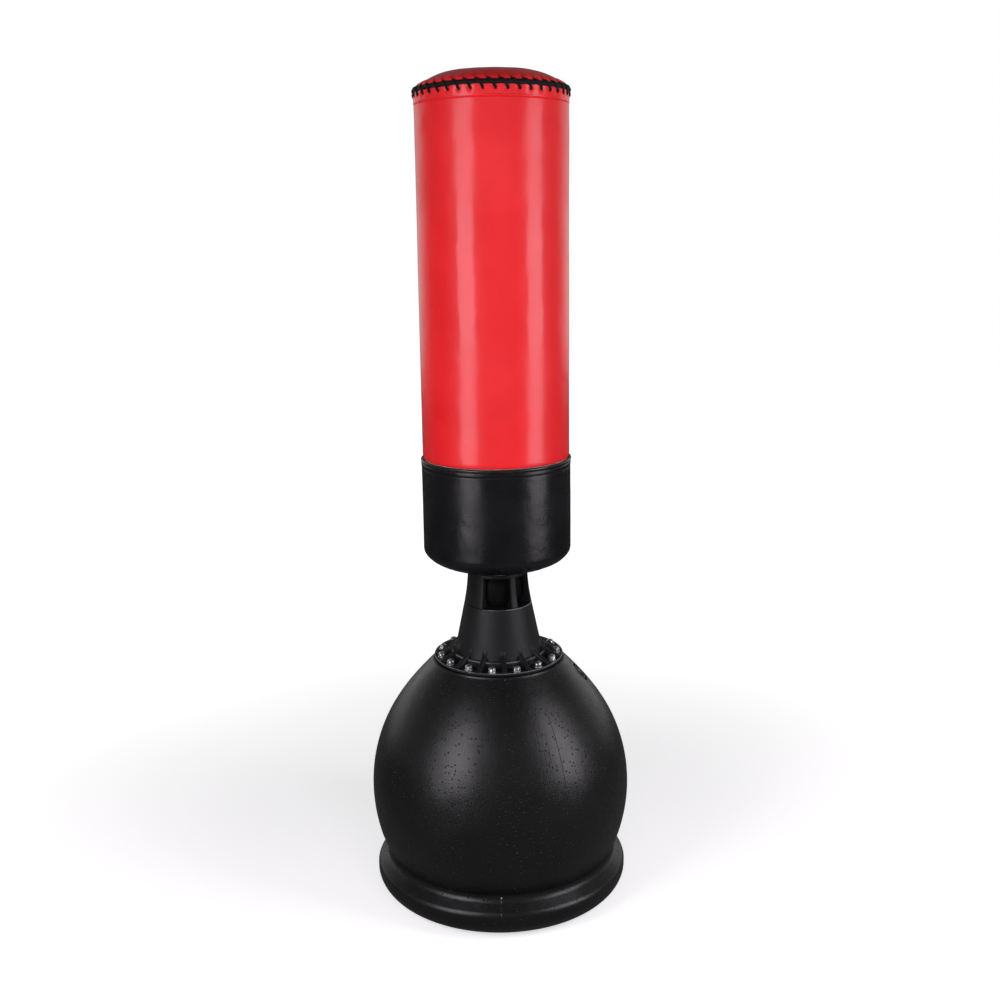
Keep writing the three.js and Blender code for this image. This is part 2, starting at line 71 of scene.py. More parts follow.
BASE_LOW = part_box("base_shell")[0]
DECK_Z = 0.5145
DOME_RADIUS = radius_of("base_shell")
NECK_LOW, NECK_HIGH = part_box("neck_cone")
FLANGE_RADIUS = radius_of("neck_cone")
SILL_Z = NECK_HIGH.z
CAGE_LOW, CAGE_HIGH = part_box("flex_cage")
SLEEVE_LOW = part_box("cover_sleeve")[0]
BAG_RADIUS = radius_of("cover_sleeve")
BAND_LOW, BAND_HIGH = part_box("cover_band")
BAND_RADIUS = radius_of("cover_band")
PIPING_LOW, PIPING_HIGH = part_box("band_piping")
PIPING_Z = (PIPING_LOW.z + PIPING_HIGH.z) / 2
ROPE_LOW, ROPE_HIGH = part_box("rim_rope")
RIM_Z = (ROPE_LOW.z + ROPE_HIGH.z) / 2
CROWN_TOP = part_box("crown_panel")[1].z
BOLT_COUNT = 15
AXIS_REACH = 1e-7

# ---------- the camera ----------


def make_camera():
    pitch = math.radians(12.678)
    roll = math.radians(-0.732)
    right = Vector((1, 0, 0))
    up = Vector((0, math.sin(pitch), math.cos(pitch)))
    back = Vector((0, -math.cos(pitch), math.sin(pitch)))
    rolled_right = right * math.cos(roll) + up * math.sin(roll)
    rolled_up = up * math.cos(roll) - right * math.sin(roll)
    turn = Matrix((rolled_right, rolled_up, back)).transposed()
    data = bpy.data.cameras.new("camera")
    data.lens = 45.04
    data.sensor_width = 36
    camera = bpy.data.objects.new("camera", data)
    camera.matrix_world = Matrix.Translation((0.007, -2.5243, 1.4194)) @ turn.to_4x4()
    bpy.context.scene.collection.objects.link(camera)
    bpy.context.scene.camera = camera


# ---------- node helpers ----------


class Shader:
    """A material's node tree, with a short way to add nodes and maths."""

    def __init__(self, name):
        self.material = bpy.data.materials.new(name)
        self.material.use_nodes = True
        self.tree = self.material.node_tree
        self.tree.nodes.clear()
        self.output = self.tree.nodes.new("ShaderNodeOutputMaterial")
        self.bsdf = self.tree.nodes.new("ShaderNodeBsdfPrincipled")
        self.link(self.bsdf.outputs[0], self.output.inputs["Surface"])
        self.place = self.tree.nodes.new("ShaderNodeTexCoord").outputs["Object"]

    def link(self, source, target):
        self.tree.links.new(source, target)

    def feed(self, socket, value):
        if isinstance(value, bpy.types.NodeSocket):
            self.link(value, socket)
        else:
            socket.default_value = value

    def maths(self, operation, a, b=0.0):
        node = self.tree.nodes.new("ShaderNodeMath")
        node.operation = operation
        for socket, value in zip(node.inputs, (a, b)):
            self.feed(socket, value)
        return node.outputs[0]

    def times(self, a, b):
        return self.maths("MULTIPLY", a, b)

    def plus(self, a, b):
        return self.maths("ADD", a, b)

    def minus(self, a, b):
        return self.maths("SUBTRACT", a, b)

    def parts(self, vector=None):
        node = self.tree.nodes.new("ShaderNodeSeparateXYZ")
        self.link(vector or self.place, node.inputs[0])
        return node.outputs[0], node.outputs[1], node.outputs[2]

    def vector(self, x, y, z):
        node = self.tree.nodes.new("ShaderNodeCombineXYZ")
        for socket, value in zip(node.inputs, (x, y, z)):
            self.feed(socket, value)
        return node.outputs[0]

    def uv(self, name="along"):
        node = self.tree.nodes.new("ShaderNodeUVMap")
        node.uv_map = name
        return node.outputs[0]

    def around(self):
        """The angle round the Z axis from the front, in radians, positive towards +X."""
        x, y, _ = self.parts()
        return self.maths("ARCTAN2", x, self.times(y, -1))

    def noise(self, scale, detail=2.0, roughness=0.5, vector=None):
        node = self.tree.nodes.new("ShaderNodeTexNoise")
        node.inputs["Scale"].default_value = scale
        node.inputs["Detail"].default_value = detail
        node.inputs["Roughness"].default_value = roughness
        self.link(vector or self.place, node.inputs["Vector"])
        return node.outputs["Fac"]

    def cells(self, scale, feature="F1", vector=None):
        node = self.tree.nodes.new("ShaderNodeTexVoronoi")
        node.feature = feature
        node.inputs["Scale"].default_value = scale
        self.link(vector or self.place, node.inputs["Vector"])
        return node

    def ramp(self, value, low, high, to_low=0.0, to_high=1.0):
        """value from low..high to to_low..to_high, smoothly, and flat outside."""
        node = self.tree.nodes.new("ShaderNodeMapRange")
        node.interpolation_type = "SMOOTHSTEP"
        for socket, item in zip(node.inputs, (value, low, high, to_low, to_high)):
            self.feed(socket, item)
        return node.outputs[0]

    def mix(self, share, a, b):
        node = self.tree.nodes.new("ShaderNodeMix")
        node.data_type = "RGBA"
        self.feed(node.inputs["Factor"], share)
        for socket, value in ((node.inputs["A"], a), (node.inputs["B"], b)):
            self.feed(socket, value if isinstance(value, bpy.types.NodeSocket) else (*value, 1))
        return node.outputs["Result"]

    def patchy(self, scale, detail, dark, light):
        """One colour drifting into another over soft patches."""
        return self.mix(self.ramp(self.noise(scale, detail), 0.3, 0.7), dark, light)

    def bump(self, height, distance, strength=1.0, normal=None):
        node = self.tree.nodes.new("ShaderNodeBump")
        node.inputs["Distance"].default_value = distance
        node.inputs["Strength"].default_value = strength
        self.link(height, node.inputs["Height"])
        if normal is not None:
            self.link(normal, node.inputs["Normal"])
        return node.outputs[0]

    def set(self, **values):
        names = {
            "color": "Base Color", "roughness": "Roughness", "metallic": "Metallic",
            "normal": "Normal", "coat": "Coat Weight", "coat_roughness": "Coat Roughness",
            "sheen": "Sheen Weight", "specular": "Specular IOR Level",
            "coat_normal": "Coat Normal",
        }
        for key, value in values.items():
            if key == "color" and not isinstance(value, bpy.types.NodeSocket):
                value = (*value, 1)
            self.feed(self.bsdf.inputs[names[key]], value)
        return self.material


# ---------- materials ----------


def leather_grain(s, size):
    """Fine pebble grain of a coated fabric, as a height."""
    warp = s.noise(1 / (6 * size), 2)
    x, y, z = s.parts()
    angle = s.around()
    across = s.times(angle, BAG_RADIUS)
    place = s.vector(across, z, s.times(warp, 2 * size))
    pebbles = s.cells(1 / size, "SMOOTH_F1", place).outputs["Distance"]
    creases = s.noise(1 / (2.4 * size), 4, 0.65, place)
    return s.plus(pebbles, s.times(creases, 0.8))


def make_red_cover():
    s = Shader("red_coated_fabric")
    _, _, z = s.parts()
    colour = s.patchy(7, 3, (0.84, 0.009, 0.014), (0.93, 0.015, 0.021))
    speck = s.cells(140).outputs["Distance"]
    colour = s.mix(s.ramp(speck, 0.03, 0.07, 0.35, 0.0), colour, (0.45, 0.006, 0.010))
    grain = leather_grain(s, 0.0016)
    low, high = 1.15, 1.47
    struck = s.maths(
        "MULTIPLY", s.ramp(z, low, low + 0.06), s.ramp(z, high - 0.06, high, 1.0, 0.0)
    )
    smudge = s.noise(16, 3)
    rough = s.plus(0.40, s.times(smudge, 0.12))
    rough = s.minus(rough, s.times(struck, 0.06))
    waves = s.bump(s.noise(22, 2), 0.0009)
    normal = s.bump(grain, 0.00010, 1.0, waves)
    s.set(color=colour, roughness=rough, normal=normal, coat=0.45, specular=0.3)
    coat_rough = s.minus(0.19, s.times(struck, 0.14))
    nicks = s.times(s.noise(330, 3, 0.7), 0.6)
    skin = s.plus(grain, nicks)
    return s.set(coat_roughness=coat_rough, coat_normal=s.bump(skin, 0.00005, 1.0, waves))


def make_black_cover():
    s = Shader("black_coated_fabric")
    colour = s.patchy(9, 3, (0.0045, 0.0045, 0.0052), (0.0085, 0.0085, 0.0095))
    grain = leather_grain(s, 0.0016)
    rough = s.plus(0.22, s.times(s.noise(18, 3), 0.12))
    waves = s.bump(s.noise(20, 2), 0.0014)
    normal = s.bump(grain, 0.00014, 1.0, waves)
    return s.set(color=colour, roughness=rough, specular=0.3, normal=normal)


def scratches(s, angle, z, places):
    """Fine upright lines on the dome: each is (angle, half width, lowest, highest)."""
    total = 0.0
    for where, half, low, high in places:
        wander = s.times(s.noise(9, 1), 0.006)
        off = s.maths("ABSOLUTE", s.minus(s.plus(angle, wander), where))
        line = s.ramp(off, half * 0.3, half, 1.0, 0.0)
        line = s.times(line, s.ramp(z, low, low + 0.02))
        line = s.times(line, s.ramp(z, high - 0.02, high, 1.0, 0.0))
        total = s.plus(total, line)
    return total


def make_base_plastic():
    s = Shader("satin_black_polyethylene")
    _, _, z = s.parts()
    angle = s.around()
    colour = s.patchy(5, 3, (0.0032, 0.0033, 0.0033), (0.0056, 0.0058, 0.0057))
    dust = s.cells(95)
    random = s.parts(dust.outputs["Color"])
    mote = s.ramp(dust.outputs["Distance"], 0.05, 0.10, 1.0, 0.0)
    mote = s.times(mote, s.maths("GREATER_THAN", random[0], 0.86))
    colour = s.mix(s.times(mote, 0.5), colour, (0.16, 0.16, 0.155))
    pits = s.cells(150)
    pit_random = s.parts(pits.outputs["Color"])
    pit = s.ramp(pits.outputs["Distance"], 0.10, 0.30, 1.0, 0.0)
    pit = s.times(pit, s.maths("GREATER_THAN", pit_random[0], 0.55))
    pit = s.times(pit, s.ramp(s.noise(11, 2), 0.36, 0.52))
    skin = s.noise(420, 3, 0.6)
    marks = scratches(s, angle, z, (
        (0.520, 0.0030, 0.22, 0.46), (0.385, 0.0018, 0.33, 0.45), (0.350, 0.0016, 0.30, 0.43),
        (0.318, 0.0014, 0.31, 0.47), (0.432, 0.0014, 0.34, 0.42),
    ))
    rough = s.plus(0.27, s.times(s.noise(24, 4, 0.6), 0.14))
    rough = s.plus(rough, s.times(marks, 0.2))
    height = s.minus(s.times(skin, 0.22), pit)
    height = s.minus(height, marks)
    waves = s.bump(s.noise(14, 1), 0.0016)
    return s.set(color=colour, roughness=rough, normal=s.bump(height, 0.0014, 1.0, waves))


def make_neck_plastic():
    s = Shader("satin_black_polypropylene")
    colour = s.patchy(14, 3, (0.0045, 0.0045, 0.0048), (0.0075, 0.0075, 0.008))
    x, y, z = s.parts()
    reach = s.maths("SQRT", s.plus(s.times(x, x), s.times(y, y)))
    # Paler grey bands on the flange lip, the collar's top edge and part of the sill are painted highlights
    # standing in for light caught on these edges; roughness is lowered there too.
    lip = s.ramp(z, LIP_Z - 0.0014, LIP_Z - 0.0002)
    lip = s.times(lip, s.maths("GREATER_THAN", reach, FLANGE_RADIUS - 0.0030))
    collar = s.ramp(z, COLLAR_Z - 0.0026, COLLAR_Z - 0.0010)
    collar = s.times(collar, s.ramp(z, COLLAR_Z + 0.0004, COLLAR_Z + 0.0010, 1.0, 0.0))
    collar = s.times(collar, s.ramp(reach, COLLAR_RADIUS - 0.0050, COLLAR_RADIUS - 0.0020))
    collar = s.times(collar, s.ramp(reach, COLLAR_RADIUS, COLLAR_RADIUS + 0.0006, 1.0, 0.0))
    angle = s.around()
    sill = s.ramp(z, SILL_Z - 0.0020, SILL_Z - 0.0006)
    sill = s.times(sill, s.ramp(angle, PANEL_END, PANEL_END + 0.05))
    edge_highlight_paint = s.maths("MAXIMUM", lip, s.maths("MAXIMUM", collar, sill))
    edge_highlight_paint = s.times(edge_highlight_paint, s.ramp(s.noise(26, 3), 0.32, 0.55, 0.25, 1.0))
    colour = s.mix(edge_highlight_paint, colour, (0.16, 0.16, 0.17))
    rough = s.plus(0.46, s.times(s.noise(60, 3), 0.12))
    rough = s.minus(rough, s.times(edge_highlight_paint, 0.18))
    skin = s.plus(s.noise(700, 3, 0.6), s.times(s.noise(40, 2), 1.5))
    return s.set(color=colour, roughness=rough, specular=0.34, normal=s.bump(skin, 0.00018))


def make_rubber(name, shine):
    s = Shader(name)
    colour = s.patchy(30, 3, (0.0030, 0.0030, 0.0032), (0.0052, 0.0052, 0.0054))
    rough = s.plus(0.42, s.times(s.noise(80, 3), 0.16))
    return s.set(
        color=colour, roughness=rough, specular=shine, normal=s.bump(s.noise(900, 3, 0.6), 0.00012)
    )


def make_zinc():
    s = Shader("bright_zinc_plate")
    stain = s.noise(160, 3, 0.6)
    colour = s.mix(s.ramp(stain, 0.35, 0.7), (0.93, 0.95, 0.97), (0.82, 0.84, 0.87))
    rough = s.plus(0.24, s.times(s.noise(340, 3), 0.14))
    brushed = s.noise(1400, 2)
    return s.set(
        color=colour, roughness=rough, metallic=1.0, normal=s.bump(brushed, 0.00006)
    )


def make_grey_plastic():
    s = Shader("plain_grey_plastic")
    colour = s.patchy(20, 3, (0.23, 0.235, 0.24), (0.29, 0.295, 0.30))
    rough = s.plus(0.42, s.times(s.noise(70, 3), 0.16))
    return s.set(color=colour, roughness=rough, normal=s.bump(s.noise(600, 3), 0.00012))


def make_bead_plastic():
    s = Shader("pale_bead_plastic")
    colour = s.patchy(900, 2, (0.42, 0.36, 0.27), (0.55, 0.48, 0.38))
    return s.set(color=colour, roughness=0.5, normal=s.bump(s.noise(1500, 2), 0.0001))


def make_foam_material():
    s = Shader("closed_cell_foam")
    bubbles = s.cells(620, "SMOOTH_F1").outputs["Distance"]
    # Colour follows the bubbles' height, darker in the cell hollows: painted shade.
    colour = s.mix(s.ramp(bubbles, 0.1, 0.7), (0.60, 0.575, 0.49), (0.76, 0.74, 0.66))
    height = s.plus(bubbles, s.noise(45, 3))
    return s.set(color=colour, roughness=0.92, sheen=0.15, normal=s.bump(height, 0.0006))


def make_braid(name, pitch, colours, rough):
    """Braided cord; its UV map holds metres along and turns round."""
    s = Shader(name)
    along, round_, _ = s.parts(s.uv())
    turn = s.times(round_, FULL_TURN * 5)
    run = s.times(along, FULL_TURN / pitch)
    left = s.maths("ABSOLUTE", s.maths("SINE", s.plus(run, turn)))
    right = s.maths("ABSOLUTE", s.maths("SINE", s.minus(run, turn)))
    weave = s.maths("MAXIMUM", left, right)
    fibre = s.noise(2600, 2)
    height = s.plus(weave, s.times(fibre, 0.35))
    # Colour follows the weave's height, lighter on the strands' crests and darker in the grooves between
    # them: painted shade.
    colour = s.mix(s.ramp(weave, 0.5, 1.0), *colours)
    return s.set(
        color=colour, roughness=rough, specular=0.25, sheen=0.02, normal=s.bump(height, 0.00045)
    )


def make_piping():
    s = Shader("black_piping")
    along, _, _ = s.parts(s.uv())
    gather = s.noise(260, 2)
    wrinkle = s.maths("SINE", s.times(along, FULL_TURN / 0.0045))
    height = s.plus(gather, s.times(wrinkle, 0.12))
    rough = s.plus(0.28, s.times(s.noise(50, 2), 0.12))
    # Colour follows the gathers' height, darker in their hollows: painted shade.
    colour = s.mix(s.ramp(gather, 0.3, 0.7), (0.004, 0.007, 0.0075), (0.008, 0.011, 0.0115))
    return s.set(color=colour, roughness=rough, coat=0.2, normal=s.bump(height, 0.0003))


def make_thread(name, dark, light):
    s = Shader(name)
    along, round_, _ = s.parts(s.uv())
    twist = s.plus(s.times(along, FULL_TURN / 0.0007), s.times(round_, FULL_TURN))
    ply = s.maths("SINE", twist)
    # Colour follows the twist's ridges, darker in the low parts between the plies: painted shade.
    colour = s.mix(s.ramp(ply, -1, 1), dark, light)
    return s.set(color=colour, roughness=0.55, sheen=0.2, normal=s.bump(ply, 0.00012))


# ---------- mesh helpers ----------


def new_object(name, data, material):
    piece = bpy.data.objects.new(name, data)
    bpy.context.scene.collection.objects.link(piece)
    if material is not None:
        data.materials.clear()
        data.materials.append(material)
    return piece


def finish_mesh(name, points, faces, material, sharp=40):
    data = bpy.data.meshes.new(name)
    data.from_pydata([tuple(p) for p in points], [], faces)
    data.validate()
    data.shade_smooth()
    data.set_sharp_from_angle(angle=math.radians(sharp))
    return new_object(name, data, material)


def shade_by_angle(piece, sharp=40):
    piece.data.shade_smooth()
    piece.data.set_sharp_from_angle(angle=math.radians(sharp))


def applied(piece):
    """Replaces a piece's mesh with what its modifiers make of it."""
    graph = bpy.context.evaluated_depsgraph_get()
    graph.update()
    made = bpy.data.meshes.new_from_object(piece.evaluated_get(graph))
    piece.modifiers.clear()
    old = piece.data
    piece.data = made
    made.name = old.name
    bpy.data.meshes.remove(old)
    return piece


def arc(centre, reach, rise, start, end, steps):
    """Points of (radius, height) on an ellipse's arc, with angles in degrees."""
    angles = np.radians(np.linspace(start, end, steps + 1))
    return [
        (centre[0] + reach * math.cos(a), centre[1] + rise * math.sin(a)) for a in angles
    ]


def rounded(corners, steps=4, radii=None):
    """An open outline from (radius, height, fillet) corners, or (radius, height) and fillets."""
    if radii:
        corners = [(r, z, fillet) for (r, z), fillet in zip(corners, radii)]
    points = []
    count = len(corners)
    for i, (r, z, fillet) in enumerate(corners):
        here = np.array((r, z))
        if fillet <= 0 or i in (0, count - 1):
            points.append((r, z))
            continue
        before = np.array(corners[i - 1][:2]) - here
        after = np.array(corners[i + 1][:2]) - here
        into = before / np.linalg.norm(before)
        out = after / np.linalg.norm(after)
        half = math.acos(max(-1, min(1, float(into @ out)))) / 2
        reach = min(
            fillet / math.tan(half), 0.49 * np.linalg.norm(before), 0.49 * np.linalg.norm(after)
        )
        size = reach * math.tan(half)
        middle = here + (into + out) / np.linalg.norm(into + out) * (size / math.sin(half))
        first = here + into * reach - middle
        last = here + out * reach - middle
        swing = math.acos(max(-1, min(1, float(first @ last) / size**2)))
        side = math.copysign(1, first[0] * last[1] - first[1] * last[0])
        for k in range(steps + 1):
            turn = side * swing * k / steps
            c, s = math.cos(turn), math.sin(turn)
            points.append(
                (middle[0] + c * first[0] - s * first[1], middle[1] + s * first[0] + c * first[1])
            )
    return points


def turned(angle, r, z):
    """The point at an angle from the front, positive towards +X."""
    return (r * math.sin(angle), -r * math.cos(angle), z)


def revolve(name, outline, material, sides=160, shift=None, sharp=40, angles=None):
    """Turns an outline about the Z axis. Points on the axis become one point.
    shift(angle, r, z) gives the moved (r, z)."""
    angles = angles if angles is not None else [FULL_TURN * k / sides for k in range(sides)]
    sides = len(angles)
    points, rows = [], []
    for r, z in outline:
        if r < AXIS_REACH:
            rows.append([len(points)] * sides)
            points.append((0, 0, z))
            continue
        rows.append(list(range(len(points), len(points) + sides)))
        for angle in angles:
            nr, nz = shift(angle, r, z) if shift else (r, z)
            points.append(turned(angle, nr, nz))
    faces = []
    pairs = list(zip(rows, rows[1:]))
    if outline[0][0] > AXIS_REACH:
        pairs.append((rows[-1], rows[0]))
    for low, high in pairs:
        for k in range(sides):
            n = (k + 1) % sides
            corners = (low[k], low[n], high[n], high[k])
            face = tuple(dict.fromkeys(corners))
            if len(face) > 2:
                faces.append(face)
    piece = finish_mesh(name, points, faces, material, sharp)
    outward(piece)
    return piece


def outward(piece):
    """Turns the faces to look outwards."""
    data = bmesh.new()
    data.from_mesh(piece.data)
    bmesh.ops.recalc_face_normals(data, faces=data.faces)
    data.to_mesh(piece.data)
    data.free()


def tube(path, radius, sides=10, closed=False, flatten=1.0):
    """Points, faces and UVs (metres along, turns round) of a cord along a path."""
    path = np.array(path, float)
    count = len(path)
    if closed:
        ahead = np.roll(path, -1, axis=0) - np.roll(path, 1, axis=0)
    else:
        ahead = np.gradient(path, axis=0)
    ahead /= np.linalg.norm(ahead, axis=1)[:, None]
    outward_dir = path * np.array((1, 1, 0))
    outward_dir /= np.maximum(np.linalg.norm(outward_dir, axis=1)[:, None], 1e-9)
    side = np.cross(ahead, outward_dir)
    side /= np.maximum(np.linalg.norm(side, axis=1)[:, None], 1e-9)
    up = np.cross(side, ahead)
    steps = np.linalg.norm(np.diff(path, axis=0, append=path[:1]), axis=1)
    travelled = np.concatenate([[0], np.cumsum(steps)])
    points, faces, uvs = [], [], []
    for i in range(count):
        for k in range(sides):
            a = FULL_TURN * k / sides
            points.append(
                path[i] + side[i] * radius * math.cos(a) + up[i] * radius * flatten * math.sin(a)
            )
    last = count if closed else count - 1
    for i in range(last):
        j = (i + 1) % count
        for k in range(sides):
            n = (k + 1) % sides
            faces.append((i * sides + k, i * sides + n, j * sides + n, j * sides + k))
            u0, u1 = travelled[i], travelled[i + 1]
            v0, v1 = k / sides, (k + 1) / sides
            uvs.append(((u0, v0), (u0, v1), (u1, v1), (u1, v0)))
    if not closed:
        for row, flip in ((0, True), (count - 1, False)):
            ring = [row * sides + k for k in range(sides)]
            faces.append(tuple(reversed(ring)) if not flip else tuple(ring))
            uvs.append(tuple((travelled[row], k / sides) for k in range(sides)))
    return points, faces, uvs


def tubes_object(name, parts, material, sharp=60):
    """One piece out of several cords."""
    points, faces, uvs = [], [], []
    for some_points, some_faces, some_uvs in parts:
        start = len(points)
        points += [tuple(p) for p in some_points]
        faces += [tuple(start + i for i in face) for face in some_faces]
        uvs += some_uvs
    data = bpy.data.meshes.new(name)
    data.from_pydata(points, [], faces)
    layer = data.uv_layers.new(name="along")
    flat = [value for face in uvs for corner in face for value in corner]
    layer.data.foreach_set("uv", flat)
    data.shade_smooth()
    data.set_sharp_from_angle(angle=math.radians(sharp))
    piece = new_object(name, data, material)
    outward(piece)
    return piece


def ripple(angle, z, across, along, seed=0.0):
    """Smooth unevenness from -1 to 1 that joins up round the bag."""
    place = Vector((math.sin(angle) * across, math.cos(angle) * across, z * along + seed))
    return noise.noise(place)


def smooth_step(value, low, high):
    t = max(0.0, min(1.0, (value - low) / (high - low)))
    return t * t * (3 - 2 * t)


# ---------- base ----------

DOME_RISE = 0.3058
DOME_CENTRE = 0.2321
SHOULDER_RADIUS = 0.228
SHOULDER_LIFT = 0.015
DECK_RADIUS = 0.139
CREASE_Z = 0.082
FOOT_RADIUS = 0.2688
FOOT_WIDEST = 0.0447
MOUTH_RADIUS = 0.086
SPIGOT_RADIUS = 0.0848
SPIGOT_INNER = 0.0786
WALL = 0.0055
REST_INNER = 0.165
RECESS_Z = 0.012


def dome_height(r):
    cap = DOME_RISE * math.sqrt(max(0, 1 - (r / DOME_RADIUS) ** 2))
    inward_share = max(0.0, SHOULDER_RADIUS - r) / (SHOULDER_RADIUS - DECK_RADIUS)
    return DOME_CENTRE + cap + SHOULDER_LIFT * inward_share**2


def base_outline():
    crease = math.degrees(math.asin((CREASE_Z - DOME_CENTRE) / DOME_RISE))
    shoulder = math.degrees(math.acos(SHOULDER_RADIUS / DOME_RADIUS))
    foot_reach = 0.0579
    bottom = arc((FOOT_RADIUS - foot_reach, FOOT_WIDEST), foot_reach, FOOT_WIDEST, -90, 0, 22)
    crease_r = DOME_RADIUS * math.cos(math.radians(crease))
    start, *dome = arc((0, DOME_CENTRE), DOME_RADIUS, DOME_RISE, crease + 5.0, shoulder, 60)
    valley = rounded([
        bottom[-1], (FOOT_RADIUS, 0.0600), (crease_r, CREASE_Z), start,
    ], 14, radii=(0, 0.015, 0.026, 0))
    crown = [
        (r, dome_height(r)) for r in np.linspace(SHOULDER_RADIUS, DECK_RADIUS + 0.0015, 24)[1:]
    ]
    deck = rounded([
        (*crown[-1], 0), (DECK_RADIUS, dome_height(DECK_RADIUS), 0.0020),
        (DECK_RADIUS - 0.0006, DECK_Z, 0.0016), (MOUTH_RADIUS, DECK_Z, 0.0015),
        (MOUTH_RADIUS, DECK_Z - WALL, 0.0015), (DECK_RADIUS - WALL, DECK_Z - WALL, 0),
    ])
    foot = rounded([
        (REST_INNER - RECESS_Z - 0.01, RECESS_Z, 0), (REST_INNER - RECESS_Z, RECESS_Z, 0.006),
        (REST_INNER, 0, 0.006), (bottom[0][0], 0, 0),
    ])
    outside = [(0, RECESS_Z), *foot[:-1], *bottom[:-1], *valley, *dome]
    outside += crown[:-1] + deck
    return outside, len(deck)


def inset(outline, distance):
    moved = []
    for i, (r, z) in enumerate(outline):
        r0, z0 = outline[max(i - 1, 0)]
        r1, z1 = outline[min(i + 1, len(outline) - 1)]
        length = math.hypot(r1 - r0, z1 - z0)
        moved.append(
            (max(r - (z1 - z0) / length * distance, 0), z + (r1 - r0) / length * distance)
        )
    return moved


def filler_place():
    """The filler's transform: z along the dome's normal, z = 0 on the surface."""
    cap_joint = next(j for j in frame["joints"] if j["name"] == "cap_turn")
    normal = Vector(cap_joint["axis"])
    point = Vector(cap_joint["pos_m"])
    turn = Vector((0, 0, 1)).rotation_difference(normal)
    return Matrix.Translation(point) @ turn.to_matrix().to_4x4()


def cut(piece, cutter, operation="DIFFERENCE"):
    modifier = piece.modifiers.new("cut", "BOOLEAN")
    modifier.operation = operation
    modifier.solver = "EXACT"
    modifier.object = cutter
    applied(piece)
    bpy.data.objects.remove(cutter)


RECESS_RADIUS = 0.022
RECESS_DEPTH = 0.008
BORE_RADIUS = 0.015


def make_base(material):
    outside, deck_count = base_outline()
    inside = inset(outside[: len(outside) - deck_count], WALL)[::-1][::3]
    outline = outside + [p for p in inside if p[0] > 1e-4] + [(0, RECESS_Z + WALL)]

    def uneven(angle, r, z):
        """Blow moulding leaves the walls slightly wavy, with a fine parting line front and back."""
        swell = 0.00035 * ripple(angle, z, 2.2, 9)
        front = min(abs(angle), abs(angle - FULL_TURN), abs(angle - math.pi))
        flash = 0.0005 * math.exp(-((front * r / 0.0009) ** 2))
        below = 1 - smooth_step(z, CREASE_Z - 0.004, CREASE_Z + 0.03) * 0.9
        if r < REST_INNER or z > DECK_Z - 0.02:
            return r, z
        return r + (swell + flash * below) * smooth_step(z, 0.0, 0.02), z

    near = [0.0016, 0.0032, 0.005, 0.0085]
    angles = sorted(
        {round(FULL_TURN * k / 200, 6) for k in range(200)}
        | {round(c + side * d, 6) % FULL_TURN for c in (0, math.pi) for d in near for side in (-1, 1)}
    )
    body = revolve("base_body", outline, material, shift=uneven, angles=angles)
    place = filler_place()
    boss = revolve("boss", rounded([
        (0, -0.017, 0), (0.027, -0.017, 0.002), (0.027, -0.003, 0), (0, -0.003, 0),
    ]), None, 64)
    boss.data.transform(place)
    cut(body, boss, "UNION")
    lip = 0.0016
    recess = revolve("recess", [
        (0, -0.04), (BORE_RADIUS, -0.04), (BORE_RADIUS, -RECESS_DEPTH),
        *arc((RECESS_RADIUS - lip, -RECESS_DEPTH + lip), lip, lip, -90, 0, 4),
        *arc((RECESS_RADIUS + lip, -lip), lip, lip, 180, 90, 5),
        (RECESS_RADIUS + 3 * lip, 0.004), (0, 0.02),
    ], None, 96)
    recess.data.transform(place)
    cut(body, recess)
    shade_by_angle(body, 32)
    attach(body, "stand")
    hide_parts("base_shell")


def make_mould_pip(material):
    """The small pale bead where the parting line meets the crease."""
    bead = revolve("mould_pip", [
        (0, -0.002), (0.0016, -0.0016), (0.0021, 0), (0.0014, 0.0013), (0, 0.0018),
    ], material, 20)
    tilt = Matrix.Rotation(math.radians(62), 4, "X")
    bead.data.transform(Matrix.Translation((0, -0.2426, CREASE_Z + 0.0028)) @ tilt)
    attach(bead, "stand")


def make_filler_cap(plastic):
    place = filler_place()
    under = -RECESS_DEPTH + 0.0022
    top = under + 0.005
    radius = 0.0175
    outline = rounded([
        (0, under - 0.009, 0), (0.0144, under - 0.009, 0.001), (0.0144, under, 0.0004),
        (radius, under, 0.0006), (radius, top, 0.0012), (radius - 0.004, top, 0.0008),
        (radius - 0.0055, top - 0.0022, 0.0008), (0, top - 0.0022, 0),
    ])

    def knurl(angle, r, z):
        ridge = 0.00045 * max(0, math.cos(angle * 24)) if r > radius - 0.0008 else 0
        return r - ridge, z

    cap = revolve("filler_cap_shell", outline, plastic, 192, shift=knurl)
    grip = box_mesh("grip", (0.026, 0.0052, 0.0044), (0, 0, top - 0.0022), 0.0014)
    grip.data.transform(Matrix.Rotation(math.radians(35), 4, "Z"))
    cut(cap, grip, "UNION")
    cap.data.transform(place)
    shade_by_angle(cap, 35)
    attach(cap, "cap")
    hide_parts("filler_cap")


def box_mesh(name, size, centre, fillet):
    """A box with rounded edges."""
    data = bmesh.new()
    bmesh.ops.create_cube(data, size=1)
    bmesh.ops.scale(data, vec=size, verts=data.verts)
    bmesh.ops.bevel(data, geom=data.edges[:], offset=fillet, segments=3, profile=0.5, affect="EDGES")
    bmesh.ops.translate(data, vec=centre, verts=data.verts)
    mesh = bpy.data.meshes.new(name)
    data.to_mesh(mesh)
    data.free()
    return new_object(name, mesh, None)


# ---------- neck ----------

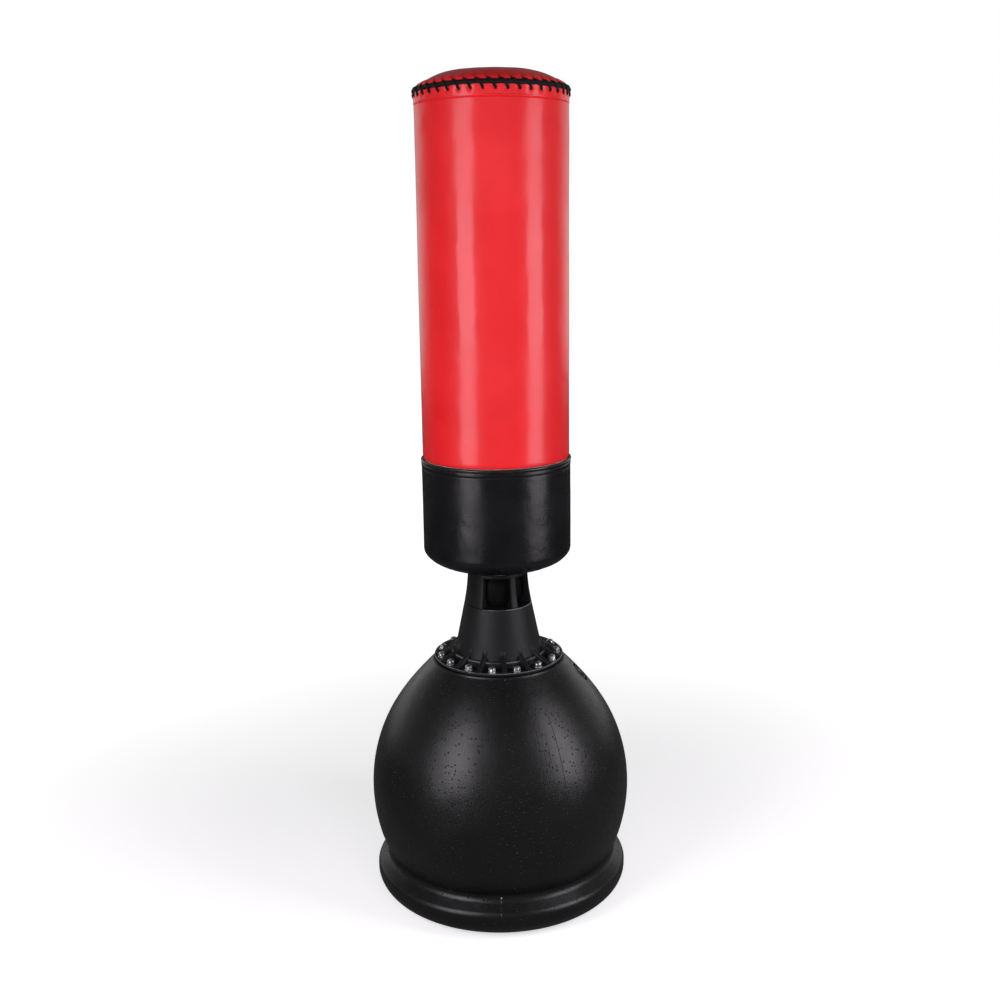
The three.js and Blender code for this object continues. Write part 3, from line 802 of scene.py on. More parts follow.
PLATE_Z = 0.5195
LIP_Z = NECK_LOW.z + 0.0215
CONE_FOOT_RADIUS = 0.093
CONE_FOOT_Z = 0.525
CONE_TOP_RADIUS = 0.0705
CONE_WALL = 0.0062
COLLAR_RADIUS = 0.0995
COLLAR_Z = 0.5315
RIB_HEAD_Z = 0.546
RIB_HALF = 0.0052
FIRST_BOLT = math.radians(-6.4)


def bolt_angle(index):
    return FIRST_BOLT + index * FULL_TURN / BOLT_COUNT


def cone_radius(z):
    share = (z - CONE_FOOT_Z) / (SILL_Z - CONE_FOOT_Z)
    return CONE_FOOT_RADIUS + (CONE_TOP_RADIUS - CONE_FOOT_RADIUS) * share


def make_neck(material):
    """Flange, gussets and cone in one skin: each row runs from a pocket's floor up to the gussets' tops."""
    lip_inner = FLANGE_RADIUS - 0.0024
    pocket = rounded([
        (FLANGE_RADIUS, LIP_Z, 0), (lip_inner, LIP_Z, 0.0009), (lip_inner - 0.0010, PLATE_Z, 0.0012),
        (COLLAR_RADIUS, PLATE_Z, 0.0020), (COLLAR_RADIUS - 0.0003, COLLAR_Z, 0.0016),
        (cone_radius(COLLAR_Z) + 0.0006, COLLAR_Z + 0.0006, 0.0020), (cone_radius(0.552), 0.552, 0),
    ], 6)
    pocket += [(cone_radius(z), z) for z in (0.5555, 0.559)]
    head_r = cone_radius(RIB_HEAD_Z) + 0.0012
    toe_r = lip_inner - 0.0014
    crest = []
    for r, z in pocket:
        share = (toe_r - r) / (toe_r - head_r)
        slope_z = PLATE_Z + 0.0018 + (RIB_HEAD_Z - PLATE_Z - 0.0018) * min(1, share)
        crest.append((r, z) if share < 0 or z > RIB_HEAD_Z + 0.004 else (r, max(z, slope_z)))
    rim = rounded([
        (FLANGE_RADIUS, NECK_LOW.z + 0.017, 0), (FLANGE_RADIUS + 0.0002, NECK_LOW.z + 0.017, 0.0004),
        (FLANGE_RADIUS, LIP_Z, 0.0010), (FLANGE_RADIUS - 0.0012, LIP_Z, 0),
    ], 4)
    lower = [(SPIGOT_RADIUS, NECK_LOW.z), (SPIGOT_RADIUS, NECK_LOW.z + 0.017), *rim[:-1]]
    cone_rows = np.linspace(0.563, SILL_Z - 0.003, 14)
    upper = [(cone_radius(z), z) for z in cone_rows]
    sill = rounded([
        (cone_radius(SILL_Z - 0.003), SILL_Z - 0.003, 0), (CONE_TOP_RADIUS + 0.0002, SILL_Z, 0.0016),
        (0.0624, SILL_Z, 0.0006), (0.0624, 0.614, 0),
    ], 5)
    inner = [
        (0.050, 0.614), (0.050, 0.606), (cone_radius(0.596) - CONE_WALL, 0.596),
        (cone_radius(0.5295) - CONE_WALL, 0.5295), (SPIGOT_INNER, 0.521), (SPIGOT_INNER, NECK_LOW.z),
    ]
    outline = lower + pocket[1:] + upper + sill[1:] + inner
    first = len(lower)
    crest_of = {first + i: crest[i + 1] for i in range(len(pocket) - 1)}
    half = [0.0018, 0.0033, 0.0043, 0.0049, RIB_HALF, RIB_HALF + 0.0005, RIB_HALF + 0.0016]
    edges = [-x for x in reversed(half)] + [0] + half
    pocket_columns = 7
    columns = []
    for k in range(BOLT_COUNT):
        middle = bolt_angle(k) + math.pi / BOLT_COUNT
        columns += [(middle, offset, None) for offset in edges]
        columns += [(middle, None, (i + 1) / (pocket_columns + 1)) for i in range(pocket_columns)]
    sector = FULL_TURN / BOLT_COUNT
    points, faces = [], []
    for row, (r, z) in enumerate(outline):
        _, cz = crest_of.get(row, (r, z))
        for middle, offset, share in columns:
            if offset is None:
                start, end = edges[-1] / r, sector - edges[-1] / r
                angle = middle + start + (end - start) * share
                points.append(turned(angle, r, z))
                continue
            drop = RIB_HALF - math.sqrt(max(0, RIB_HALF**2 - offset**2))
            top = cz - drop if abs(offset) <= RIB_HALF else z
            points.append(turned(middle + offset / r, r, max(z, top)))
    count = len(columns)
    for row in range(len(outline)):
        after = (row + 1) % len(outline)
        for k in range(count):
            n = (k + 1) % count
            faces.append((row * count + k, row * count + n, after * count + n, after * count + k))
    neck = finish_mesh("neck_moulding", points, faces, material, 50)
    outward(neck)
    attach(neck, "stand")
    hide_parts("neck_cone")


def make_bolts(material):
    """Flange-head bolts, each a copy of one mesh."""
    washer, hex_radius, head = 0.0088, 0.0082, 0.0120
    outline = rounded([
        (0, -0.029, 0), (0.0034, -0.029, 0.0008), (0.004, -0.0275, 0.0004), (0.004, 0, 0.0003),
        (washer, 0, 0.0003), (washer, 0.0012, 0.0005), (0.0080, 0.0020, 0.0006),
        (0.0074, 0.0024, 0.0003), (0, 0.0024, 0),
    ], 3)
    template = revolve("flange_bolt_template", outline, material, 48)
    data = bmesh.new()
    bmesh.ops.create_cone(
        data, cap_ends=True, segments=6, radius1=hex_radius, radius2=hex_radius, depth=head - 0.0015
    )
    rim = [e for e in data.edges if all(v.co.z > 0 for v in e.verts)]
    bmesh.ops.bevel(data, geom=rim, offset=0.0014, segments=3, profile=0.65, affect="EDGES")
    upright = [
        e for e in data.edges
        if abs(e.verts[0].co.z - e.verts[1].co.z) > 0.003 and len(e.link_faces) == 2
    ]
    bmesh.ops.bevel(data, geom=upright, offset=0.0007, segments=2, profile=0.5, affect="EDGES")
    bmesh.ops.translate(data, vec=(0, 0, 0.0015 + (head - 0.0015) / 2), verts=data.verts)
    mesh = bpy.data.meshes.new("hex")
    data.to_mesh(mesh)
    data.free()
    cut(template, new_object("hex", mesh, None), "UNION")
    dome = [(0, -0.04), (0.02, -0.04), (0.02, 0.003), (washer, 0.003)]
    dome += arc((0, head - 0.0088), 0.0088, 0.0088, 4, 90, 18)
    cut(template, revolve("dome", [*dome[:-1], (0, head)], None, 48), "INTERSECT")
    shade_by_angle(template, 35)
    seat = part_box("flange_bolt_01")[1].z - head
    for k in range(BOLT_COUNT):
        name = f"flange_bolt_{k + 1:02d}"
        low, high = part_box(name)
        bolt = new_object(f"bolt_{k + 1:02d}", template.data.copy(), material)
        turn = Matrix.Rotation(2.399 * k, 4, "Z")
        bolt.data.transform(Matrix.Translation(((low.x + high.x) / 2, (low.y + high.y) / 2, seat)) @ turn)
        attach(bolt, "stand")
        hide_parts(name)
    bpy.data.objects.remove(template)


# ---------- rubber joint ----------

PIVOT_Z = next(j["pos_m"][2] for j in frame["joints"] if j["name"] == "sway_forward")
POST_ANGLES = (24.6, 36.4)
PANEL_ANGLES = (80, 332)
PANEL_END = math.radians(PANEL_ANGLES[1] - 360)
HUG_RADIUS = 0.053


def pierced_wall(name, outer, inner, columns, is_open, material):
    """A wall round the Z axis between two outlines with the same rows, with openings in it."""
    rows = len(outer)
    count = len(columns)
    points = [turned(a, r, z) for r, z in outer for a in columns]
    points += [turned(a, r, z) for r, z in inner for a in columns]
    half = rows * count

    def out(row, col):
        return row * count + col % count

    def inn(row, col):
        return half + out(row, col)

    def solid(row, col):
        return 0 <= row < rows - 1 and not is_open(row, col % count)

    faces = []
    for row in range(rows - 1):
        for col in range(count):
            if not solid(row, col):
                continue
            faces.append((out(row, col), out(row, col + 1), out(row + 1, col + 1), out(row + 1, col)))
            faces.append((inn(row, col), inn(row + 1, col), inn(row + 1, col + 1), inn(row, col + 1)))
            if not solid(row - 1, col):
                faces.append((out(row, col), inn(row, col), inn(row, col + 1), out(row, col + 1)))
            if not solid(row + 1, col):
                top = row + 1
                faces.append((out(top, col), out(top, col + 1), inn(top, col + 1), inn(top, col)))
            if not solid(row, col - 1):
                faces.append((out(row, col), out(row + 1, col), inn(row + 1, col), inn(row, col)))
            if not solid(row, col + 1):
                nxt = col + 1
                faces.append((out(row, nxt), inn(row, nxt), inn(row + 1, nxt), out(row + 1, nxt)))
    piece = finish_mesh(name, points, faces, material)
    data = bmesh.new()
    data.from_mesh(piece.data)
    loose = [v for v in data.verts if not v.link_faces]
    bmesh.ops.delete(data, geom=loose, context="VERTS")
    data.to_mesh(piece.data)
    data.free()
    outward(piece)
    return piece


def make_cage(material):
    """A post and a panel between two rings, cut at the pivot into a lower and an upper half."""
    post_top = 0.698
    foot = SILL_Z + 0.0003
    top_radius = 0.0625
    low = [CAGE_LOW.z, (CAGE_LOW.z + foot) / 2, foot - 0.0011]
    rise = list(np.linspace(foot, post_top, 17))
    heights = low + rise + [(post_top + CAGE_HIGH.z) / 2, CAGE_HIGH.z]

    def outer_radius(z):
        if z < foot - 0.0001:
            return 0.062
        share = min(1.0, (z - foot) / (post_top - foot))
        waist = 0.0012 * math.sin(math.pi * share)
        return CONE_TOP_RADIUS + (top_radius - CONE_TOP_RADIUS) * share - waist

    def inner_radius(z):
        if z < foot - 0.0001:
            return 0.056
        if z > post_top - 0.002:
            return 0.0475
        return math.sqrt(HUG_RADIUS**2 - (z - PIVOT_Z) ** 2)

    outer = [(outer_radius(z), z) for z in heights]
    inner = [(inner_radius(z), z) for z in heights]
    solids = [POST_ANGLES, PANEL_ANGLES]
    columns, window = [], []
    for (start, end), (following, _) in zip(solids, solids[1:] + [(360 + solids[0][0], 0)]):
        for a, b, is_window in ((start, end, False), (end, following, True)):
            steps = max(6, round((b - a) / 5))
            columns += [math.radians(a + (b - a) * i / steps) for i in range(steps)]
            window += [is_window] * steps

    def is_open(row, col):
        return 2 < row < len(heights) - 3 and window[col]

    cage = pierced_wall("flex_cage_whole", outer, inner, columns, is_open, material)
    bevel = cage.modifiers.new("edges", "BEVEL")
    bevel.width = 0.0016
    bevel.segments = 3
    bevel.limit_method = "ANGLE"
    bevel.angle_limit = math.radians(38)
    applied(cage)
    halves = (
        ("flex_cage_lower", True, "stand", "ball", (0, 0, foot + 0.001), (0, 0, PIVOT_Z)),
        ("flex_cage_upper", False, "ball", "neck_top", (0, 0, PIVOT_Z), (0, 0, post_top)),
    )
    for name, keep_low, first, second, start, end in halves:
        data = bmesh.new()
        data.from_mesh(cage.data)
        everything = data.verts[:] + data.edges[:] + data.faces[:]
        bmesh.ops.bisect_plane(
            data, geom=everything, plane_co=(0, 0, PIVOT_Z), plane_no=(0, 0, 1),
            clear_outer=keep_low, clear_inner=not keep_low,
        )
        open_edges = [e for e in data.edges if e.is_boundary]
        bmesh.ops.holes_fill(data, edges=open_edges, sides=0)
        mesh = bpy.data.meshes.new(name)
        data.to_mesh(mesh)
        data.free()
        half = new_object(name, mesh, material)
        shade_by_angle(half, 50)
        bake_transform(half)
        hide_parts("flex_cage")
    bpy.data.objects.remove(cage)


def make_ball(material):
    """The rubber ball that the neck tilts on."""
    radius, waist, waist_half, half_height = 0.0522, 0.0500, 0.015, 0.0455

    def sphere_arc(low, high, steps):
        angles = [math.degrees(math.asin(z / radius)) for z in (low, high)]
        return arc((0, PIVOT_Z), radius, radius, *angles, steps)

    outline = [
        (0, PIVOT_Z - half_height),
        *sphere_arc(-half_height, -waist_half - 0.001, 14),
        (waist, PIVOT_Z - waist_half), (waist, PIVOT_Z + waist_half),
        *sphere_arc(waist_half + 0.001, half_height, 14),
        (0, PIVOT_Z + half_height),
    ]
    ball = revolve("joint_ball", outline, material, 96)
    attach(ball, "ball")
    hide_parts("pivot_ball")


# ---------- bag ----------

STITCHES = 41
STITCH_TURN = FULL_TURN / STITCHES
ROPE_RADIUS = 0.0052
ROPE_RING = BAG_RADIUS - 0.0036
CORD_RADIUS = 0.0026
SEAM_Z = 1.635
HOLE_Z = RIM_Z - 0.0112
CROWN_RADIUS = 0.141
CROWN_DROP = 0.0275
CROWN_POWER = 3.9
CORNER_REACH = 0.100
CORNER_RISE = 0.044


def nearest_stitch(angle, offset=0.0):
    """How far an angle is from the nearest stitch hole, from -0.5 to 0.5 of the pitch."""
    share = (angle - offset) / STITCH_TURN
    return share - round(share)


def groove(z, centre, half, depth):
    return -depth * math.exp(-(((z - centre) / half) ** 2))


def rim_lift(angle):
    """The laced rim rides a little higher in front and behind than at the sides."""
    return 0.0003 + 0.0019 * math.cos(2 * angle)


def sleeve_shape(angle, r, z):
    """The red cover: slightly uneven over the foam, drawn in at its seams, gathered at the lacing."""
    if r < BAG_RADIUS - 0.0017:
        return r, z + rim_lift(angle) * smooth_step(z, 1.56, SEAM_Z - 0.004)
    soft = 0.00055 * ripple(angle, z, 1.6, 5.5) + 0.00022 * ripple(angle, z, 4.5, 24, 7.0)
    near_top = smooth_step(z, 1.45, 1.62)
    soft += 0.0008 * near_top * ripple(angle, z, 3.2, 30, 3.0)
    seams = groove(z, SEAM_Z, 0.0009, 0.0009)
    lap = 0.0006 * smooth_step(z, SEAM_Z, SEAM_Z + 0.002)
    foot = -0.0009 * (1 - smooth_step(z, SLEEVE_LOW.z, SLEEVE_LOW.z + 0.010))
    high = smooth_step(z, SEAM_Z + 0.004, HOLE_Z)
    off = nearest_stitch(angle, STITCH_TURN * 0.32)
    pucker = 0.00035 * math.cos(FULL_TURN * off) * high
    dimple = -0.0016 * math.exp(-((off * 7) ** 2)) * math.exp(-(((z - HOLE_Z) / 0.0035) ** 2))
    back = math.exp(-(((abs(angle - math.pi)) * r / 0.0012) ** 2))
    lifted = z + rim_lift(angle) * smooth_step(z, 1.56, SEAM_Z - 0.004)
    return r + soft + seams + lap + foot - pucker + dimple - 0.0007 * back, lifted


def make_sleeve(material):
    top = RIM_Z - 0.0052
    heights = np.concatenate([
        np.linspace(SLEEVE_LOW.z - 0.0004, SLEEVE_LOW.z + 0.012, 7)[1:],
        np.linspace(SLEEVE_LOW.z + 0.02, 1.45, 70),
        np.linspace(1.454, SEAM_Z - 0.006, 48),
        np.linspace(SEAM_Z - 0.004, SEAM_Z + 0.004, 13),
        np.linspace(SEAM_Z + 0.006, top, 14),
    ])
    inner_r = BAG_RADIUS - 0.003
    outer = [(BAG_RADIUS, z) for z in heights]
    fold = arc((BAG_RADIUS - 0.0016, top), 0.0016, 0.0016, 20, 160, 5)
    outline = [(inner_r, SLEEVE_LOW.z), (BAG_RADIUS - 0.0015, SLEEVE_LOW.z - 0.0001)] + outer
    outline += [(min(r, BAG_RADIUS - 0.0013), z) for r, z in fold]
    outline += [(inner_r, top - 0.004), (inner_r, 1.30)]
    sleeve = revolve("bag_sleeve", outline, material, 492, shift=sleeve_shape, sharp=55)
    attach(sleeve, "bag")
    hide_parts("cover_sleeve")


def crown_height(r):
    return CROWN_TOP - CROWN_DROP * (r / CROWN_RADIUS) ** CROWN_POWER


def crown_shape(angle, r, z):
    """The crown panel: domed, with a turned hem that the lacing gathers."""
    hem = smooth_step(r, 0.128, 0.140)
    off = nearest_stitch(angle, -STITCH_TURN * 0.30)
    gather = 0.0010 * math.cos(FULL_TURN * off) * hem
    dimple = 0.0014 * math.exp(-((off * 7) ** 2)) * math.exp(-(((r - 0.1425) / 0.003) ** 2))
    soft = 0.0005 * ripple(angle, r * 3, 3.0, 6.0, 11.0) * smooth_step(r, 0.01, 0.06)
    return r, z + soft - gather * 0.4 - dimple + rim_lift(angle) * smooth_step(r, 0.09, 0.13)


def make_crown(material):
    face = [(r, crown_height(r)) for r in np.linspace(0, 0.1315, 26)]
    step_r = 0.1325
    hem = rounded([
        (*face[-1], 0), (step_r, crown_height(step_r) + 0.0002, 0.0003),
        (step_r + 0.0004, crown_height(step_r) + 0.0013, 0.0006),
        (0.1440, crown_height(0.1410) + 0.0012, 0.005), (0.1462, RIM_Z + 0.0046, 0.001),
        (0.1445, RIM_Z + 0.0030, 0),
    ], 6)
    under = [(0.1385, crown_height(0.1385) - 0.0032)]
    under += [(r, crown_height(r) - 0.003) for r in np.linspace(0.13, 0, 9)]
    outline = [(r, z) for r, z in face] + hem[1:] + under
    crown = revolve("crown_cover", outline, material, 328, shift=crown_shape, sharp=60)
    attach(crown, "bag")
    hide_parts("crown_panel")


def make_rope(material):
    count = 410
    path = []
    for i in range(count):
        angle = FULL_TURN * i / count
        wander = 0.0003 * math.sin(i * 0.31)
        path.append(turned(angle, ROPE_RING + wander, RIM_Z + rim_lift(angle)))
    rope = tubes_object("rim_cord", [tube(path, ROPE_RADIUS, 14, closed=True)], material)
    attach(rope, "bag")
    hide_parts("rim_rope")


def stitch_route(k):
    """One whip stitch: out of the sleeve, over the rim cord and into the crown, then back inside."""
    angle = k * STITCH_TURN
    over = ROPE_RADIUS + CORD_RADIUS * 0.12
    lean = STITCH_TURN * 0.38
    route = [
        (lean * 1.02, BAG_RADIUS - 0.0042, HOLE_Z - 0.0012),
        (lean, BAG_RADIUS + 0.0004, HOLE_Z),
        (lean * 0.80, BAG_RADIUS + 0.0017, HOLE_Z + 0.0032),
    ]
    for swing in (-42, -10, 25, 60, 95):
        a = math.radians(swing)
        share = (swing + 42) / 137
        route.append((
            lean * (0.55 - 1.15 * share),
            ROPE_RING + over * math.cos(a),
            RIM_Z + over * math.sin(a),
        ))
    route += [
        (-lean * 0.82, 0.1440, RIM_Z + 0.0058),
        (-lean * 0.94, 0.1423, crown_height(0.1423) + 0.0000),
        (-lean * 0.98, 0.1405, crown_height(0.1405) - 0.0055),
        (lean * 0.3, 0.1398, RIM_Z - 0.0010),
        (STITCH_TURN * 0.72, 0.1420, HOLE_Z + 0.0015),
    ]
    return [turned(angle + a, r, z + rim_lift(angle + a)) for a, r, z in route]


def smooth_closed(points, per_span):
    """A Catmull-Rom curve through a closed list of points."""
    pts = np.array(points)
    count = len(pts)
    out = []
    for i in range(count):
        p0, p1, p2, p3 = (pts[(i + j) % count] for j in (-1, 0, 1, 2))
        for k in range(per_span):
            t = k / per_span
            out.append(0.5 * (
                2 * p1 + (p2 - p0) * t + (2 * p0 - 5 * p1 + 4 * p2 - p3) * t * t
                + (3 * p1 - p0 - 3 * p2 + p3) * t**3
            ))
    return out


def make_lacing(material):
    route = [point for k in range(STITCHES) for point in stitch_route(k)]
    path = smooth_closed(route, 3)
    lace = tubes_object("rim_lacing", [tube(path, CORD_RADIUS, 8, closed=True, flatten=0.72)], material)
    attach(lace, "bag")
    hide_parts("lacing_cord")


def make_piping_ring(material):
    count = 360
    ring = BAND_RADIUS - 0.0014
    path = [turned(FULL_TURN * i / count, ring, PIPING_Z) for i in range(count)]
    piping = tubes_object("piping_ring", [tube(path, 0.0031, 14, closed=True)], material)
    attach(piping, "bag")
    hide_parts("band_piping")


def stitch_row(name, angles, r, z, length, radius, material):
    """A ring of short thread stitches lying on the cover."""
    parts = []
    for angle in angles:
        half = length / 2 / r
        path = []
        for k in range(7):
            share = k / 6 * 2 - 1
            lift = 0.5 * radius - radius * 2.2 * max(0.0, abs(share) - 0.55)
            place = angle + half * share
            path.append(turned(place, r + lift, z + (rim_lift(place) if z > 1.6 else 0)))
        parts.append(tube(path, radius, 6))
    row = tubes_object(name, parts, material)
    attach(row, "bag")
    return row


def band_shape(angle, r, z):
    """The black band: a rolled top hem, a stitched line under it, and a full bottom edge."""
    if r < BAND_RADIUS - 0.06 and z > BAND_LOW.z + 0.004:
        return r, z
    side = smooth_step(z, BAND_LOW.z + 0.03, BAND_LOW.z + 0.06)
    soft = 0.0006 * ripple(angle, z, 1.8, 8, 5.0) + 0.00025 * ripple(angle, z, 5, 26, 9.0)
    hem = groove(z, BAND_HIGH.z - 0.0105, 0.0014, 0.0004) * side
    roll = 0.0006 * math.exp(-(((z - BAND_HIGH.z + 0.0050) / 0.0035) ** 2))
    crease = 0.0007 * ripple(angle, z, 12, 9, 2.0) * (1 - side) * smooth_step(r, 0.06, 0.10)
    back = math.exp(-(((abs(angle - math.pi)) * r / 0.0012) ** 2)) * side
    if r < BAND_RADIUS - 0.0022 and z > BAND_LOW.z + CORNER_RISE:
        return r, z
    return r + soft + hem + roll - 0.0007 * back, z + crease


def make_band(material):
    centre = (BAND_RADIUS - CORNER_REACH, BAND_LOW.z + CORNER_RISE)
    thick = 0.0026
    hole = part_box("cover_band")[0].z
    corner = arc(centre, CORNER_REACH, CORNER_RISE, -90, 0, 36)
    wall = [(BAND_RADIUS, z) for z in np.linspace(centre[1], BAND_HIGH.z - 0.022, 34)[1:]]
    wall += [(BAND_RADIUS, z) for z in np.linspace(BAND_HIGH.z - 0.020, BAND_HIGH.z - 0.0012, 22)]
    top = arc((BAND_RADIUS - 0.0012, BAND_HIGH.z - 0.0012), 0.0012, 0.0012, 10, 180, 4)
    inner = arc(centre, CORNER_REACH - thick, CORNER_RISE - thick, 0, -90, 14)
    outline = [(0.047, hole + thick), (0.047, hole + 0.0006), (0.0476, hole)]
    outline += corner + wall + top + inner
    band = revolve("bag_band", outline, material, 360, shift=band_shape, sharp=55)
    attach(band, "bag")
    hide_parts("cover_band")


def make_foam(material):
    """The hidden padding: two sleeves and the pad under the crown."""
    tube_r = radius_of("bag_inner_tube") + 0.0005
    split = radius_of("foam_core")
    low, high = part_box("foam_core")

    def cells(angle, r, z):
        return r + 0.0003 * ripple(angle, z, 9, 40, r * 50), z

    core = revolve("padding_core", rounded([
        (tube_r, low.z + 0.01, 0), (tube_r, low.z, 0.002), (split - 0.0005, low.z, 0.004),
        (split - 0.0005, high.z, 0.004), (tube_r, high.z, 0.002), (tube_r, high.z - 0.01, 0),
    ]), material, 96, shift=cells)
    outer = radius_of("foam_wrap") - 0.0006
    wrap_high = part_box("foam_wrap")[1]
    centre = (BAND_RADIUS - CORNER_REACH, BAND_LOW.z + CORNER_RISE)
    gap = 0.0050
    bottom = [
        p for p in arc(centre, CORNER_REACH - gap, CORNER_RISE - gap, -90, 0, 30)
        if split + 0.003 < p[0] < outer - 0.001
    ]
    wrap = revolve("padding_wrap", [
        (split + 0.001, bottom[0][1] + 0.001), *bottom, (outer, bottom[-1][1] + 0.006),
        *rounded([(outer, wrap_high.z - 0.02, 0), (outer, wrap_high.z, 0.005),
                  (split + 0.001, wrap_high.z, 0.003), (split + 0.001, wrap_high.z - 0.02, 0)]),
    ], material, 120, shift=cells)
    pad_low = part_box("crown_pad")[0]
    pad_r = radius_of("crown_pad") - 0.0006
    top = [(r, crown_height(r) - 0.0050) for r in np.linspace(pad_r - 0.003, 0, 14)]
    pad = revolve("padding_crown", [
        (0, pad_low.z + 0.0004), (pad_r - 0.003, pad_low.z + 0.0004), (pad_r, pad_low.z + 0.004),
        *top,
    ], material, 96, shift=cells)
    for piece, node in ((core, "foam_core"), (wrap, "foam_wrap"), (pad, "crown_pad")):
        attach(piece, "bag")
        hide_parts(node)


# ---------- carried-over CAD nodes ----------


def dress_cad_nodes(looks):
    """The frame's own nodes keep their shape and get a full material."""
    for names, material in looks:
        for name in names:
            node = frame["nodes"][name]
            node.data.materials.clear()
            node.data.materials.append(material)
            shade_by_angle(node, 30)


# ---------- stage ----------


def make_floor():
    data = bmesh.new()
    bmesh.ops.create_circle(data, cap_ends=True, segments=96, radius=9)
    mesh = bpy.data.meshes.new("floor")
    data.to_mesh(mesh)
    data.free()
    s = Shader("pale_floor")
    x, y, _ = s.parts()
    away = s.maths("SQRT", s.plus(s.times(x, x), s.times(y, y)))
    # For the camera the floor glows, less near the stand and more further out: painted brightness, with
    # painted shade round the base. Reflections and bounce light see the dim grey diffuse below instead, a
    # darker copy of the floor.
    s.set(color=(0.9, 0.9, 0.9), roughness=0.8, specular=0.0)
    s.bsdf.inputs["Emission Color"].default_value = (1, 1, 1, 1)
    s.link(s.ramp(away, 0.5, 2.2, 0.55, 1.0), s.bsdf.inputs["Emission Strength"])
    dim = s.tree.nodes.new("ShaderNodeBsdfDiffuse")
    dim.inputs["Color"].default_value = (0.24, 0.24, 0.24, 1)
    choose = s.tree.nodes.new("ShaderNodeMixShader")
    path = s.tree.nodes.new("ShaderNodeLightPath")
    s.link(path.outputs["Is Camera Ray"], choose.inputs[0])
    s.link(dim.outputs[0], choose.inputs[1])
    s.link(s.bsdf.outputs[0], choose.inputs[2])
    s.link(choose.outputs[0], s.output.inputs["Surface"])
    floor = new_object("floor", mesh, s.material)
    floor.location.z = BASE_LOW.z


def softbox(name, azimuth, distance, middle_z, width, height, radiance, aim_z, mirrored=True):
    """A soft light; azimuth 0 stands in front, positive towards +X."""
    data = bpy.data.lights.new(name, "AREA")
    data.shape = "RECTANGLE"
    data.size = width
    data.size_y = height
    data.energy = radiance * math.pi * width * height
    data.color = (0.98, 0.93, 1.0)
    light = bpy.data.objects.new(name, data)
    angle = math.radians(azimuth)
    light.location = turned(angle, distance, middle_z)
    away = light.location - Vector((0, 0, aim_z))
    light.rotation_mode = "QUATERNION"
    light.rotation_quaternion = away.to_track_quat("Z", "Y")
    light.visible_glossy = mirrored
    bpy.context.scene.collection.objects.link(light)


def make_world():
    """Dim all round except for two pale walls behind, one each side; the camera sees plain white."""
    world = bpy.data.worlds.new("studio")
    bpy.context.scene.world = world
    world.use_nodes = True
    tree = world.node_tree
    tree.nodes.clear()

    def node(kind):
        return tree.nodes.new(f"ShaderNode{kind}")

    def ramp(source, low, high, to_low, to_high):
        item = node("MapRange")
        item.interpolation_type = "SMOOTHSTEP"
        tree.links.new(source, item.inputs[0])
        for socket, value in zip(list(item.inputs)[1:5], (low, high, to_low, to_high)):
            socket.default_value = value
        return item.outputs[0]

    def multiply(a, b):
        item = node("Math")
        item.operation = "MULTIPLY"
        tree.links.new(a, item.inputs[0])
        tree.links.new(b, item.inputs[1])
        return item.outputs[0]

    place = node("TexCoord")
    parts = node("SeparateXYZ")
    tree.links.new(place.outputs["Generated"], parts.inputs[0])
    x, y, z = parts.outputs[0], parts.outputs[1], parts.outputs[2]
    size = node("Math")
    size.operation = "ABSOLUTE"
    tree.links.new(x, size.inputs[0])
    walls = multiply(ramp(size.outputs[0], 0.15, 0.45, 0, 1), ramp(y, 0.30, 0.75, 0, 1))
    walls = multiply(walls, ramp(z, 0.10, 0.42, 1, 0))
    strength = node("MapRange")
    tree.links.new(walls, strength.inputs[0])
    for socket, value in zip(list(strength.inputs)[1:5], (0, 1, 0.17, 0.95)):
        socket.default_value = value
    ceiling = ramp(z, 0.45, 0.80, 1, 0.4)
    lit = node("Background")
    shown = node("Background")
    choose = node("MixShader")
    path = node("LightPath")
    out = node("OutputWorld")
    tree.links.new(multiply(strength.outputs[0], ceiling), lit.inputs["Strength"])
    lit.inputs["Color"].default_value = (1, 1, 1, 1)
    shown.inputs["Color"].default_value = (1, 1, 1, 1)
    tree.links.new(path.outputs["Is Camera Ray"], choose.inputs[0])
    tree.links.new(lit.outputs[0], choose.inputs[1])
    tree.links.new(shown.outputs[0], choose.inputs[2])
    tree.links.new(choose.outputs[0], out.inputs["Surface"])


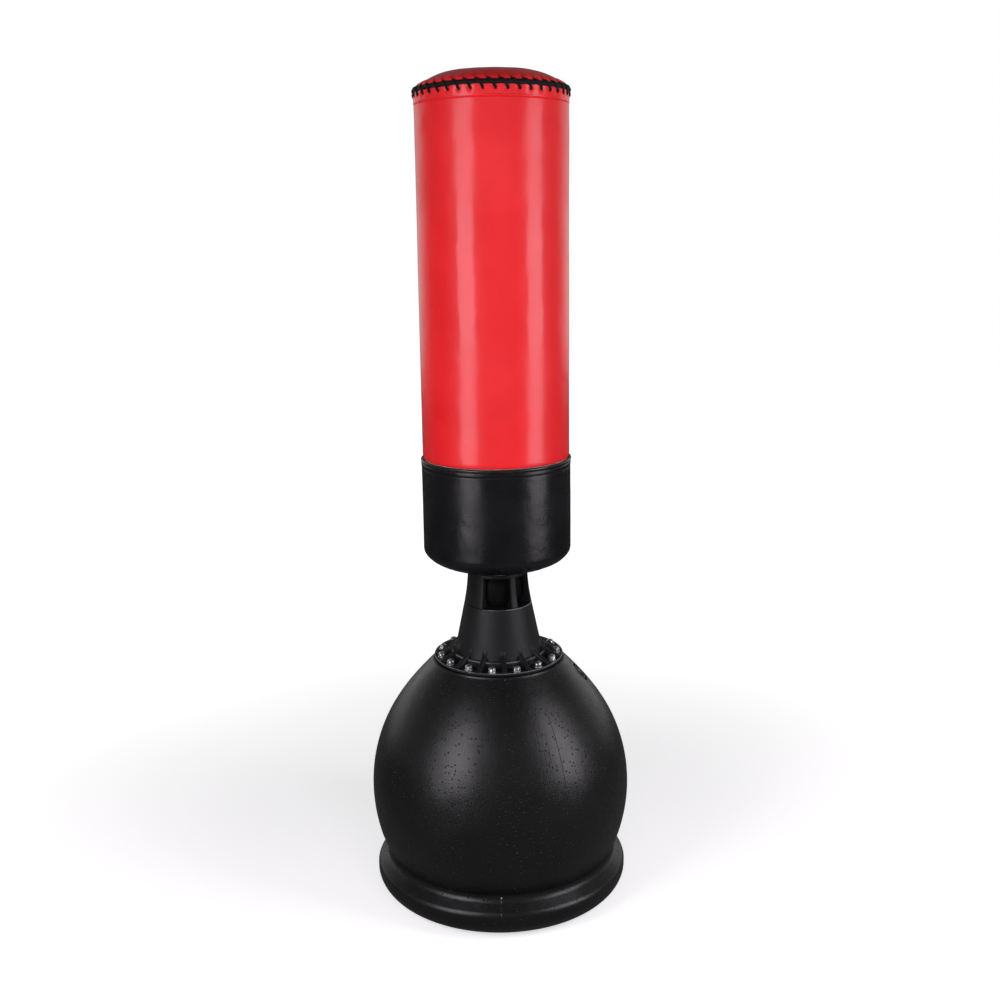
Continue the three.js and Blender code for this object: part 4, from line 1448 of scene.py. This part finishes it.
def make_stage():
    make_floor()
    make_world()
    softbox("left_softbox", -40, 1.65, 1.13, 0.74, 1.46, 4.8, 1.0)
    softbox("right_softbox", 62, 1.65, 1.13, 0.72, 1.46, 4.6, 1.0)
    softbox("front_fill", 8, 2.4, 1.5, 1.6, 2.0, 1.6, 1.0, mirrored=False)
    bpy.context.scene.view_settings.view_transform = "Standard"


# ---------- the whole ----------


def build():
    make_camera()
    red = make_red_cover()
    black = make_black_cover()
    base_plastic = make_base_plastic()
    neck_plastic = make_neck_plastic()
    rubber = make_rubber("moulded_black_rubber", 0.3)
    dull_rubber = make_rubber("dull_black_rubber", 0.06)
    zinc = make_zinc()
    grey = make_grey_plastic()
    foam = make_foam_material()
    lace = make_braid("black_lacing", 0.0042, ((0.0006, 0.0016, 0.0018), (0.0030, 0.0050, 0.0054)), 0.6)
    rope = make_braid("black_rim_cord", 0.0060, ((0.0006, 0.0016, 0.0018), (0.0030, 0.0050, 0.0054)), 0.6)
    red_thread = make_thread("red_thread", (0.10, 0.003, 0.004), (0.32, 0.006, 0.010))
    black_thread = make_thread("black_thread", (0.004, 0.004, 0.0045), (0.018, 0.018, 0.020))
    make_base(base_plastic)
    make_mould_pip(make_bead_plastic())
    make_filler_cap(base_plastic)
    make_neck(neck_plastic)
    make_bolts(zinc)
    make_cage(rubber)
    make_ball(dull_rubber)
    make_sleeve(red)
    make_crown(red)
    make_rope(rope)
    make_lacing(lace)
    make_piping_ring(make_piping())
    make_band(black)
    seam_count = 236
    seam = stitch_row(
        "top_seam_stitches", [FULL_TURN * i / seam_count for i in range(seam_count)],
        BAG_RADIUS + 0.0004, SEAM_Z + 0.0034, 0.0027, 0.00035, red_thread,
    )
    hem = stitch_row(
        "band_hem_stitches", [FULL_TURN * i / seam_count for i in range(seam_count)],
        BAND_RADIUS - 0.0008, BAND_HIGH.z - 0.0105, 0.0027, 0.00035, black_thread,
    )
    make_foam(foam)
    dress_cad_nodes((
        (("cap_seal", "flange_gasket"), rubber),
        (("ball_seat", "neck_collar"), neck_plastic),
        (("backing_ring", "support_post"), zinc),
        (("post_cap", "bag_base_plate", "bag_inner_tube", "tube_plug"), grey),
    ))
    make_stage()


build()
